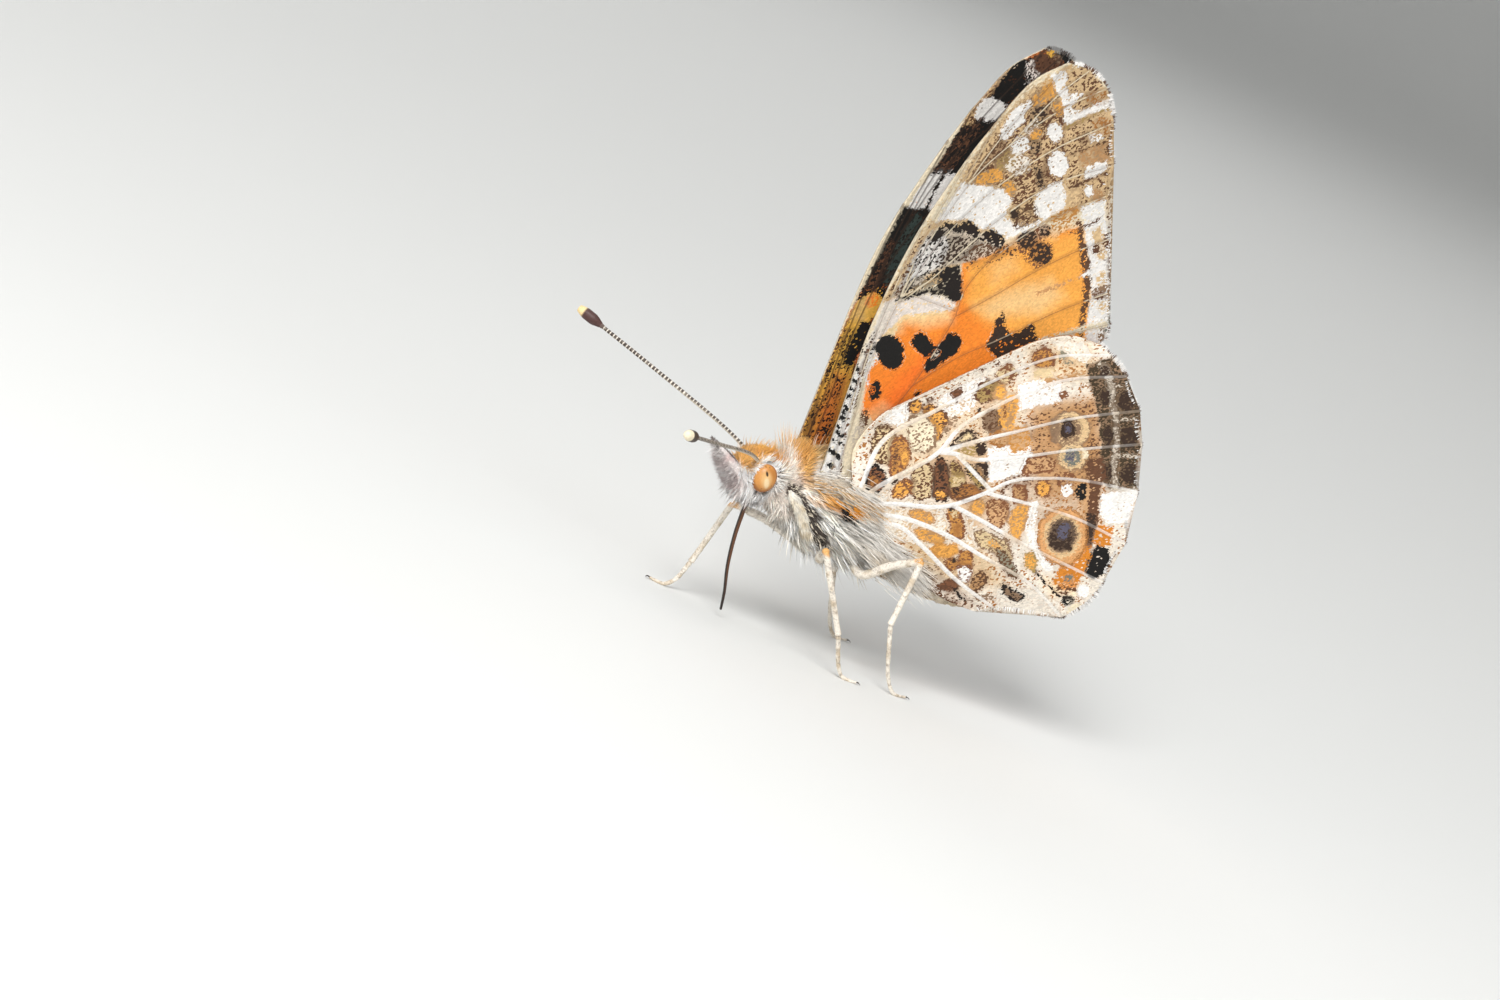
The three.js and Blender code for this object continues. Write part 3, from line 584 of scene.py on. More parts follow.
def wing_plan(veins, steps, bulges, cross):
    """Points of a wing in its own plane, its triangles, its outer margin, the lines of its veins, and each
    point's distance to the nearest vein and side of it."""
    spacing = WING_SPACING
    whole, own = trace_veins(veins, steps)
    lines = [line for name, line in own if name not in ("costa", "inner")]
    for vein_a, step_a, vein_b, step_b in cross:
        start = whole[vein_a][int(step_a * POINTS_PER_STEP)]
        end = whole[vein_b][int(step_b * POINTS_PER_STEP)]
        lines.append(resample(np.array([start, end]), 0.2))
    edge, margin = wing_outline(veins, whole, bulges)
    edge = resample(np.vstack([edge, edge[:1]]), spacing)[:-1]
    # A triangular grid over the whole wing
    low, high = edge.min(0), edge.max(0)
    rows = int((high[1] - low[1]) / (spacing * ROW_HEIGHT)) + 1
    columns = int((high[0] - low[0]) / spacing) + 2
    r, c = np.meshgrid(np.arange(rows), np.arange(columns), indexing="ij")
    grid = np.column_stack([(low[0] + (c + 0.5 * (r % 2)) * spacing).ravel(),
                            (low[1] + r * spacing * ROW_HEIGHT).ravel()])
    grid = grid[inside(grid, edge) > spacing * CLEAR]
    # Three rows of beads along each vein, where no two come too close
    beads = []
    for line in lines:
        row = resample(line, spacing * 0.95)
        aside = np.gradient(row, axis=0)[:, ::-1] * (-1, 1)
        aside /= np.maximum(np.hypot(*aside.T), 1e-9)[:, None]
        beads += [row[1:-1]] + [(row + aside * BEAD_ROW * s)[1:-1] for s in (1, -1)]
    beads = np.vstack(beads)
    beads = beads[inside(beads, edge) > spacing * CLEAR]
    keep = np.ones(len(beads), bool)
    cells = set()
    for k, p in enumerate(beads):
        key = (round(p[0] / BEAD_GAP), round(p[1] / BEAD_GAP))
        if any((key[0] + i, key[1] + j) in cells for i in (-1, 0, 1) for j in (-1, 0, 1)):
            keep[k] = False
        else:
            cells.add(key)
    beads = beads[keep]
    # The grid leaves room for them
    gap = np.full(len(grid), FAR)
    for line in lines:
        gap = np.minimum(gap, near_line(grid, line)[0])
    grid = grid[gap > BEAD_ROW + spacing * 0.5]
    points = np.vstack([edge, beads, grid])
    made = geometry.delaunay_2d_cdt([Vector(p) for p in points], [], [list(range(len(edge)))], 1, 1e-6, True)
    points = np.array([tuple(v) for v in made[0]])
    faces = np.array([f for f in made[2] if len(f) == 3])
    a, b, c = (points[faces[:, k]] for k in range(3))
    area = (b[:, 0] - a[:, 0]) * (c[:, 1] - a[:, 1]) - (b[:, 1] - a[:, 1]) * (c[:, 0] - a[:, 0])
    faces[area < 0] = faces[area < 0][:, ::-1]
    vein = np.full(len(points), FAR)
    side = np.zeros(len(points))
    for line in lines:
        d, s = near_line(points, line)
        closer = d < vein
        vein[closer] = d[closer]
        side[closer] = s[closer]
    return {"points": points, "faces": faces, "margin": margin, "lines": lines, "vein": vein, "side": side}


def rim_of(faces):
    """The edges that only one triangle has, each in that triangle's direction."""
    pairs = np.vstack([faces[:, [0, 1]], faces[:, [1, 2]], faces[:, [2, 0]]])
    keys = {tuple(p) for p in pairs}
    return np.array([p for p in keys if (p[1], p[0]) not in keys])


# In mm: the membrane, the height of the veins below, their share of it above, half the width of a vein's crest,
# and how far from a vein the membrane between sinks in
WING_THICKNESS, VEIN_HEIGHT, UPPER_SHARE, CREST_WIDTH, FOLD_WIDTH = 0.14, 0.05, 0.6, 0.07, 0.55


def wing_skin(plan, lateral, offset, folds):
    """The two faces of a wing of the left side: underside first, then upperside. folds is how deep the
    membrane sinks in between the veins."""
    p, half = plan["points"], WING_THICKNESS / 2
    mid = lateral(p[:, 0], p[:, 1]) + offset(p[:, 0], p[:, 1])
    between = 1 - np.exp(-(plan["vein"] / FOLD_WIDTH) ** 2)
    mid = mid + 0.07 * layered(p, 5.0, 3, 2) - folds * between
    crest = np.exp(-(plan["vein"] / CREST_WIDTH) ** 2)
    under = np.column_stack([p[:, 0], -(mid + half + VEIN_HEIGHT * crest), p[:, 1]])
    upper = np.column_stack([p[:, 0], -(mid - half - UPPER_SHARE * VEIN_HEIGHT * crest), p[:, 1]])
    n = len(p)
    rim = rim_of(plan["faces"])
    faces = np.vstack([plan["faces"], plan["faces"][:, ::-1] + n,
                       np.column_stack([rim[:, 1], rim[:, 0], rim[:, 0] + n]),
                       np.column_stack([rim[:, 1], rim[:, 0] + n, rim[:, 1] + n])])
    return np.vstack([under, upper]), faces


# Wing markings, painted in this order. A row: kind, colour or (middle, rim), share, outline. paint() says what
# they mean. An area, a soft area and a cell have a list of (x, z) points as their outline, a spot and a patch an
# ellipse as [x, z, half length, half width, degrees], and a line has [width, point, point, ...].
FORE_UNDERSIDE = [
    ("area", "cream", 0.1, [(-0.12, 10.9), (-0.63, 14.66), (-1.0, 20.67), (-0.24, 28.78), (0.94, 35.99),
        (3.15, 40.51), (7.36, 40.13), (14.38, 25.52), (9.33, 23.22), (3.36, 16.13), (2.85, 12.54)]),
    ("area", "buff", 0.1, [(-1.19, 22.52), (-0.77, 25.39), (-0.24, 28.78), (0.34, 32.04), (1.03, 35.82),
        (2.63, 39.31), (3.92, 40.51), (4.92, 40.75), (7.58, 39.54), (9.34, 35.85), (9.82, 33.66),
        (7.77, 31.62), (4.9, 29.54), (2.71, 26.64), (0.05, 23.08)]),
    ("area", "dusk", 0.66, [(3.84, 40.08), (5.27, 40.76), (7.0, 39.84), (8.6, 37.24), (9.82, 33.66),
        (7.78, 32.51), (6.07, 34.88), (4.72, 37.72)]),
    ("area", "dusk", 0.42, [(0.19, 31.31), (0.44, 33.3), (1.04, 36.23), (1.94, 38.45), (2.76, 39.21),
        (4.11, 38.41), (5.0, 37.43), (5.92, 35.5), (6.67, 33.63), (5.48, 32.21), (4.31, 31.07),
        (3.64, 31.89), (2.7, 31.92), (1.27, 31.28)]),
    ("area", "umber", 0.38, [(0.59, 32.0), (0.78, 34.1), (1.33, 35.25), (1.88, 34.49), (2.64, 34.21),
        (2.62, 33.39), (1.65, 33.18), (1.36, 31.99)]),
    ("spot", "olive", 0.45, [2.69, 33.55, 0.81, 0.57, 56]),
    ("area", "sepia", 0.35, [(2.84, 36.46), (2.86, 37.28), (3.64, 37.56), (3.99, 37.02), (3.64, 36.41),
        (3.22, 36.19)]),
    ("area", "sepia", 0.4, [(3.44, 35.32), (4.21, 35.49), (4.48, 34.92), (4.05, 34.48)]),
    ("area", "sepia", 0.3, [(4.55, 33.87), (5.03, 33.92), (5.61, 33.0), (5.27, 32.8)]),
    ("area", "umber", 0.5, [(4.72, 35.02), (5.13, 35.05), (5.78, 33.55), (5.3, 33.49)]),
    ("spot", "gold", 0.25, [3.22, 38.63, 0.65, 0.44, 125]),
    ("spot", "gold", 0.45, [2.95, 37.99, 0.62, 0.43, 63]),
    ("spot", "gold", 0.3, [2.04, 32.16, 0.92, 0.47, 36]),
    ("spot", "gold", 0.35, [3.59, 32.0, 0.52, 0.37, 148]),
    ("spot", "gold", 0.5, [4.38, 37.85, 0.5, 0.39, 121]),
    ("spot", "gold", 0.5, [3.69, 35.69, 0.39, 0.37, 170]),
    ("area", "sand", 0.3, [(-1.19, 22.52), (-0.95, 25.74), (-0.52, 29.16), (-0.04, 32.32), (0.84, 35.89),
        (2.2, 38.81), (3.46, 40.21), (3.31, 39.62), (2.24, 37.88), (1.54, 36.0), (1.23, 33.99),
        (0.77, 31.65), (0.13, 29.38), (-0.23, 26.26), (-0.45, 23.45)]),
    ("line", "dusk", 0.55, [0.19, (-0.92, 22.89), (-0.69, 25.69), (-0.36, 28.26)]),
    ("line", "cream", 0.2, [0.16, (0.01, 31.66), (0.6, 34.45), (1.24, 36.57), (2.19, 38.54), (3.19, 39.85)]),
    ("area", "orange", 0.0, [(0.85, 15.72), (-0.01, 18.13), (0.09, 18.98), (-0.12, 20.28), (0.65, 20.88),
        (0.58, 21.75), (2.37, 23.58), (3.53, 24.44), (2.77, 26.66), (3.89, 27.91), (4.92, 28.73),
        (6.73, 28.69), (8.02, 29.0), (7.91, 30.72), (8.83, 31.5), (9.72, 30.55), (11.14, 28.03),
        (12.12, 25.53), (11.02, 24.21), (9.69, 23.22), (8.12, 21.24), (6.24, 19.14), (4.0, 17.05),
        (3.36, 16.13), (2.72, 15.2)]),
    ("soft", "amber", 0.0, [(3.07, 26.78), (4.65, 28.56), (9.2, 31.64), (12.83, 25.26), (9.8, 23.74),
        (6.97, 23.67), (5.05, 23.94), (3.98, 24.55)]),
    ("soft", "peach", 0.35, [(4.8, 24.46), (6.42, 26.32), (8.62, 27.73), (9.79, 27.09), (8.89, 25.65),
        (5.98, 24.24)]),
    ("soft", "peach", 0.6, [(4.62, 27.12), (5.67, 28.21), (6.24, 27.62), (5.17, 26.24)]),
    ("soft", "ember", 0.15, [(0.99, 16.04), (0.61, 17.79), (1.36, 18.63), (2.27, 19.25), (2.85, 21.04),
        (3.86, 21.78), (3.61, 20.18), (3.14, 18.91), (2.74, 16.71), (2.04, 15.9)]),
    ("soft", "red", 0.5, [(1.94, 16.13), (2.3, 17.49), (2.73, 18.88), (2.89, 19.9), (3.24, 19.76),
        (3.07, 18.6), (2.83, 17.28), (2.47, 16.2)]),
    ("soft", "orange", 0.2, [(0.69, 17.01), (0.56, 17.91), (1.53, 18.56), (1.57, 16.94)]),
    ("area", "ochrebrown", 0.6, [(2.59, 26.59), (2.8, 27.35), (4.08, 28.26), (5.24, 29.13), (5.81, 28.67),
        (4.98, 27.87), (4.03, 27.16), (3.35, 26.48)]),
    ("area", "umber", 0.72, [(2.72, 26.91), (3.53, 27.91), (5.17, 28.96), (6.03, 28.35), (4.76, 27.72),
        (3.77, 26.65)]),
    ("soft", "peach", 0.0, [(-0.09, 19.2), (-0.57, 20.13), (-0.71, 21.59), (-0.48, 22.62), (0.37, 23.19),
        (1.94, 23.75), (3.19, 24.11), (3.51, 23.14), (2.29, 22.26), (1.03, 21.9), (0.56, 21.06),
        (0.02, 20.47), (0.12, 19.68)]),
    ("area", "rosy", 0.1, [(-0.43, 18.95), (-0.81, 19.71), (-0.91, 21.39), (-0.99, 22.73), (0.22, 23.48),
        (1.4, 24.15), (2.73, 24.33), (3.49, 24.22), (3.29, 23.6), (1.96, 22.95), (0.67, 22.33), (0.25, 21.5),
        (-0.23, 20.66), (-0.15, 19.45)]),
    ("area", "white", 0.25, [(-0.15, 17.81), (-0.6, 19.3), (-0.39, 19.78), (0.18, 19.56), (0.29, 19.05),
        (0.0, 18.41), (0.34, 17.43)]),
    ("soft", "peach", 0.4, [(1.2, 15.58), (1.85, 16.64), (2.31, 16.54), (2.01, 15.34)]),
    ("area", "ash", 0.15, [(-0.72, 23.09), (-0.57, 25.46), (-0.24, 27.76), (0.74, 28.37), (2.98, 28.78),
        (4.8, 28.68), (4.05, 27.57), (2.83, 26.68), (1.87, 26.17), (0.92, 25.08), (-0.07, 23.31)]),
    ("area", "white", 0.2, [(-0.44, 23.73), (-0.44, 25.78), (-0.13, 27.25), (0.91, 27.88), (1.54, 27.28),
        (1.43, 26.01), (0.7, 25.07), (-0.16, 24.37)]),
    ("area", "ink", 0.72, [(-0.64, 23.39), (-0.44, 25.5), (-0.18, 27.64), (0.74, 28.37), (2.49, 28.31),
        (3.29, 27.68), (2.59, 26.59), (1.62, 25.94), (0.7, 25.07), (-0.0, 23.47)]),
    ("area", "sepia", 0.5, [(1.11, 26.04), (1.15, 27.14), (1.36, 27.9), (2.73, 28.41), (3.66, 28.23),
        (2.85, 27.1), (2.05, 26.24)]),
    ("area", "umber", 0.45, [(-0.52, 23.16), (-0.61, 24.36), (-0.57, 25.46), (-0.25, 25.43), (-0.1, 24.26),
        (-0.07, 23.31)]),
    ("area", "ink", 0.35, [(-0.2, 23.27), (-0.24, 24.07), (0.5, 25.15), (1.68, 25.82), (2.65, 26.48),
        (3.31, 25.51), (3.62, 24.55), (3.23, 24.19), (2.67, 24.31), (1.43, 24.1), (0.28, 23.36),
        (-0.4, 22.92)]),
    ("area", "black", 0.05, [(1.66, 25.55), (2.07, 26.18), (2.7, 26.36), (3.25, 25.49), (3.62, 24.55),
        (3.23, 24.19), (2.67, 24.31), (1.98, 24.58)]),
    ("line", "black", 0.15, [0.25, (-0.27, 23.11), (0.42, 23.54), (1.37, 24.21), (2.3, 24.5)]),
    ("spot", "ash", 0.55, [0.52, 24.53, 0.38, 0.24, 45]),
    ("spot", "buff", 0.5, [1.43, 24.84, 0.45, 0.17, 39]),
    ("area", "ink", 0.15, [(0.21, 27.03), (0.11, 27.95), (0.58, 28.66), (1.45, 28.75), (1.89, 28.36),
        (1.05, 28.2), (0.65, 27.52)]),
    ("area", "ink", 0.08, [(1.58, 28.52), (1.53, 29.05), (2.02, 29.29), (2.7, 29.07), (3.04, 28.8),
        (2.88, 28.4), (2.29, 28.44)]),
    ("area", "ink", 0.15, [(3.1, 28.22), (3.13, 28.91), (3.62, 29.23), (4.33, 29.38), (4.76, 28.94),
        (4.79, 28.27), (4.08, 28.26), (3.56, 28.46)]),
    ("area", "umber", 0.45, [(2.6, 26.87), (2.94, 27.95), (3.67, 28.37), (4.91, 28.32), (4.08, 27.51),
        (3.19, 26.83)]),
    ("area", "white", 0.04, [(-0.1, 28.35), (-0.26, 29.25), (0.15, 30.21), (0.38, 31.24), (1.21, 31.4),
        (2.44, 31.69), (3.34, 31.77), (4.04, 31.5), (4.01, 30.95), (4.11, 30.31), (4.92, 30.09),
        (5.35, 30.39), (5.13, 29.35), (4.45, 29.29), (3.56, 29.35), (2.99, 29.05), (2.12, 29.39),
        (1.34, 29.12), (0.46, 28.75)]),
    ("area", "cream", 0.15, [(-0.6, 28.45), (-0.62, 29.94), (-0.45, 31.36), (0.14, 31.7), (0.3, 30.81),
        (0.07, 29.5), (0.03, 28.4)]),
    ("area", "white", 0.06, [(1.51, 34.77), (1.4, 35.54), (1.52, 36.33), (1.89, 37.08), (2.49, 37.56),
        (2.47, 37.15), (2.27, 36.67), (2.64, 36.25), (2.3, 35.73), (2.09, 35.11), (1.92, 34.71)]),
    ("area", "white", 0.3, [(2.46, 34.56), (2.74, 35.2), (3.32, 35.41), (3.71, 34.75), (3.27, 34.17),
        (2.77, 34.12)]),
    ("area", "shell", 0.4, [(2.5, 33.62), (3.22, 34.28), (3.98, 34.18), (4.3, 33.5), (3.57, 32.94),
        (2.8, 33.04)]),
    ("area", "shell", 0.5, [(2.75, 35.75), (3.23, 36.6), (3.6, 36.19), (3.2, 35.5)]),
    ("area", "white", 0.12, [(2.96, 39.42), (3.45, 39.94), (3.9, 39.96), (4.08, 39.35), (4.65, 38.76),
        (4.4, 38.39), (3.86, 38.59), (3.42, 38.98)]),
    ("area", "white", 0.25, [(4.28, 38.35), (4.72, 38.93), (5.44, 39.22), (5.17, 38.57), (5.15, 38.02),
        (5.92, 38.2), (6.36, 38.78), (7.28, 39.55), (7.67, 39.03), (6.48, 38.22), (5.74, 37.52),
        (5.4, 37.04), (4.89, 37.51)]),
    ("line", "white", 0.05, [0.25, (5.23, 37.25), (6.16, 38.16), (7.56, 39.26)]),
    ("area", "ochrebrown", 0.6, [(5.56, 39.26), (6.7, 39.86), (7.16, 39.5), (6.6, 38.87), (5.89, 38.72)]),
    ("area", "ochrebrown", 0.5, [(6.73, 37.71), (7.17, 38.29), (7.76, 38.4), (8.2, 37.49), (7.59, 37.11)]),
    ("area", "white", 0.3, [(6.93, 36.98), (7.6, 37.38), (7.94, 37.12), (7.3, 36.52)]),
    ("area", "dusk", 0.45, [(6.38, 36.63), (6.88, 37.1), (7.27, 36.71), (6.72, 36.22)]),
    ("area", "tan", 0.35, [(6.82, 35.72), (7.75, 36.77), (8.54, 37.22), (8.84, 35.99), (7.37, 34.86)]),
    ("spot", "umber", 0.35, [8.57, 36.56, 0.3, 0.28, 171]),
    ("area", "sand", 0.3, [(7.04, 32.55), (7.13, 33.27), (7.75, 34.06), (8.26, 32.7), (7.66, 31.85)]),
    ("area", "white", 0.06, [(7.55, 34.79), (7.87, 35.33), (8.72, 35.94), (8.94, 35.48), (8.31, 34.69),
        (7.89, 34.38)]),
    ("spot", "white", 0.04, [4.8, 36.3, 0.55, 0.49, 131]),
    ("spot", "white", 0.03, [5.85, 34.59, 0.83, 0.61, 128]),
    ("area", "white", 0.05, [(5.49, 31.74), (5.4, 32.38), (5.88, 33.18), (6.52, 33.64), (7.07, 33.25),
        (7.41, 32.23), (7.06, 31.75), (6.53, 31.06), (5.83, 31.19)]),
    ("area", "ochre", 0.45, [(6.82, 31.52), (7.62, 32.24), (8.11, 32.71), (8.78, 31.61), (7.91, 30.72),
        (7.47, 30.14), (6.9, 30.73)]),
    ("area", "umber", 0.25, [(4.41, 30.56), (4.55, 31.16), (5.24, 31.98), (5.69, 31.48), (6.26, 30.89),
        (5.7, 30.26), (5.2, 29.79), (4.75, 30.16)]),
    ("area", "brown", 0.3, [(5.25, 29.4), (5.69, 29.98), (6.67, 30.92), (7.14, 30.69), (7.1, 29.72),
        (7.75, 29.85), (8.02, 29.0), (7.7, 28.46), (7.3, 28.1), (6.8, 28.24), (5.87, 28.7)]),
    ("spot", "sepia", 0.15, [6.05, 29.52, 0.64, 0.57, 19]),
    ("spot", "sepia", 0.2, [7.28, 29.05, 0.72, 0.63, 8]),
    ("spot", "sepia", 0.3, [6.89, 30.46, 0.38, 0.32, 125]),
    ("spot", "sepia", 0.15, [4.57, 30.83, 0.38, 0.29, 121]),
    ("line", "white", 0.1, [0.19, (4.77, 29.21), (5.54, 29.99), (6.4, 30.88)]),
    ("area", "white", 0.05, [(8.35, 32.67), (9.58, 33.7), (10.19, 32.58), (9.31, 31.41)]),
    ("area", "white", 0.05, [(9.2, 31.64), (10.13, 32.69), (11.4, 31.56), (14.32, 25.49), (12.48, 24.78),
        (11.32, 28.11)]),
    ("area", "umber", 0.15, [(8.54, 31.66), (8.85, 31.91), (9.52, 30.82), (10.49, 29.69), (11.05, 28.68),
        (11.42, 27.46), (11.79, 26.23), (11.99, 25.21), (11.69, 25.23), (11.16, 27.08), (10.73, 28.28),
        (9.83, 29.71)]),
    ("area", "sand", 0.2, [(9.73, 31.58), (10.17, 32.02), (10.91, 31.36), (11.41, 30.33), (10.93, 30.14),
        (10.24, 30.82)]),
    ("spot", "dusk", 0.25, [10.47, 30.64, 0.29, 0.26, 132]),
    ("spot", "dusk", 0.25, [10.88, 31.28, 0.51, 0.2, 116]),
    ("area", "sand", 0.3, [(11.19, 29.29), (11.57, 29.71), (12.13, 28.83), (11.81, 28.3)]),
    ("area", "taupe", 0.25, [(11.32, 28.11), (11.77, 28.69), (12.44, 29.09), (12.95, 28.33), (12.15, 27.88),
        (11.67, 27.69)]),
    ("spot", "dusk", 0.3, [11.95, 28.01, 0.39, 0.25, 18]),
    ("spot", "sand", 0.3, [12.5, 27.47, 0.34, 0.31, 166]),
    ("spot", "taupe", 0.3, [13.22, 25.82, 0.52, 0.26, 117]),
    ("spot", "greygreen", 0.6, [13.3, 26.41, 0.58, 0.26, 117]),
    ("spot", "tan", 0.3, [9.05, 33.76, 0.4, 0.37, 169]),
    ("spot", "white", 0.1, [8.39, 33.77, 0.38, 0.26, 119]),
    ("area", "sepia", 0.06, [(6.46, 22.31), (6.39, 22.62), (6.53, 23.08), (6.49, 23.62), (6.4, 24.27),
        (6.51, 24.79), (6.88, 24.45), (7.04, 23.97), (7.5, 23.74), (8.08, 24.03), (8.59, 24.78),
        (8.94, 24.64), (9.14, 24.24), (9.49, 24.1), (9.14, 23.62), (8.52, 23.11), (7.96, 22.48),
        (7.52, 21.89), (6.94, 22.22)]),
    ("area", "jet", 0.0, [(-0.39, 19.78), (-0.34, 20.42), (0.36, 20.85), (1.05, 20.82), (1.5, 20.45),
        (1.85, 19.84), (1.86, 19.37), (1.64, 18.94), (1.1, 18.87), (0.51, 19.06), (0.17, 19.42)]),
    ("area", "jet", 0.0, [(1.9, 20.95), (1.92, 21.36), (2.12, 21.71), (2.56, 21.68), (3.05, 21.39),
        (3.54, 21.24), (3.49, 20.75), (3.21, 20.43), (2.62, 20.48), (2.25, 20.67)]),
    ("area", "jet", 0.0, [(3.24, 19.76), (3.18, 20.35), (3.6, 21.13), (3.63, 21.82), (3.91, 22.27),
        (4.48, 22.43), (4.85, 22.09), (4.94, 21.44), (4.53, 20.81), (3.96, 20.04), (3.59, 19.62)]),
    ("spot", "ash", 0.5, [3.64, 20.73, 0.31, 0.17, 62]),
    ("spot", "jet", 0.03, [1.02, 17.27, 0.57, 0.39, 107]),
    ("spot", "ember", 0.3, [0.87, 17.22, 0.14, 0.08, 117]),
    ("spot", "jet", 0.03, [3.74, 17.91, 0.38, 0.29, 110]),
    ("area", "white", 0.04, [(-0.12, 10.9), (-0.48, 13.89), (-0.92, 17.83), (-0.73, 19.26), (-0.27, 18.05),
        (0.19, 15.6), (0.7, 13.08), (1.16, 11.24)]),
    ("area", "shell", 0.3, [(-0.92, 17.83), (-0.95, 20.28), (-0.87, 22.49), (-0.47, 22.9), (-0.24, 21.27),
        (-0.47, 19.34), (-0.27, 18.05)]),
    ("area", "ink", 0.62, [(-1.12, 19.13), (-0.88, 20.44), (-0.54, 20.83), (-0.27, 19.55), (-0.45, 18.4),
        (-0.54, 17.82)]),
    ("area", "cream", 0.35, [(1.11, 11.35), (0.56, 13.71), (0.08, 15.98), (-0.03, 17.58), (0.33, 17.15),
        (0.44, 15.69), (0.86, 13.82), (1.53, 11.51)]),
    ("spot", "umber", 0.12, [1.1, 15.33, 0.63, 0.28, 103]),
    ("line", "dusk", 0.2, [0.1, (1.16, 11.24), (0.53, 13.29), (-0.06, 15.66), (-0.47, 17.84), (-0.64, 19.97)]),
    ("line", "dusk", 0.4, [0.07, (0.3, 15.37), (-0.07, 16.88), (-0.48, 19.07)]),
    ("spot", "ash", 0.4, [1.13, 14.33, 0.94, 0.33, 102]),
    ("spot", "ochrebrown", 0.4, [2.04, 12.44, 0.69, 0.2, 108]),
    ("spot", "jet", 0.0, [-0.85, 18.13, 0.22, 0.14, 164]),
    ("spot", "jet", 0.0, [-0.72, 17.42, 0.29, 0.12, 171]),
    ("spot", "jet", 0.0, [-0.68, 16.89, 0.29, 0.13, 155]),
    ("line", "jet", 0.0, [0.21, (-0.99, 16.31), (-0.61, 16.3), (-0.44, 16.42)]),
    ("line", "jet", 0.0, [0.2, (-0.96, 15.77), (-0.57, 15.76), (-0.29, 15.65), (-0.37, 15.35)]),
    ("line", "jet", 0.0, [0.21, (-0.74, 15.03), (-0.39, 14.94), (-0.1, 14.96)]),
    ("line", "jet", 0.0, [0.21, (-0.61, 14.46), (-0.23, 14.31), (-0.22, 13.97), (0.19, 13.9)]),
    ("line", "jet", 0.0, [0.2, (-0.31, 13.54), (0.04, 13.45), (0.34, 13.42)]),
    ("spot", "jet", 0.0, [-0.01, 12.76, 0.32, 0.14, 171]),
    ("spot", "buff", 0.6, [4.9, 31.03, 0.13, 0.09, 17]),
    ("spot", "buff", 0.6, [5.44, 31.11, 0.13, 0.09, 17]),
    ("spot", "buff", 0.6, [5.9, 30.74, 0.13, 0.09, 17]),
    ("spot", "buff", 0.6, [5.23, 30.35, 0.13, 0.09, 17]),
    ("spot", "jet", 0.0, [0.46, 12.66, 0.19, 0.14, 118]),
    ("spot", "jet", 0.0, [0.21, 11.96, 0.26, 0.19, 128]),
    ("spot", "taupe", 0.4, [0.54, 11.68, 0.38, 0.16, 109]),
    ("line", "olive", 0.2, [0.11, (5.27, 36.72), (6.32, 37.82), (7.52, 39.04)]),
    ("line", "umber", 0.2, [0.11, (6.24, 35.29), (7.28, 36.24), (8.43, 37.31)]),
    ("line", "umber", 0.2, [0.11, (6.95, 33.2), (8.0, 34.29), (8.99, 35.23)]),
    ("line", "umber", 0.2, [0.1, (8.45, 30.94), (9.23, 31.72), (10.1, 32.61)]),
    ("line", "peach2", 0.3, [0.19, (8.07, 26.63), (9.34, 27.74), (10.33, 28.67)]),
    ("line", "white", 0.05, [0.25, (10.42, 28.78), (11.14, 29.4), (11.73, 30.11)]),
    ("line", "cream", 0.1, [0.31, (9.66, 24.03), (10.72, 24.85), (12.04, 25.85), (13.09, 26.53)]),
]

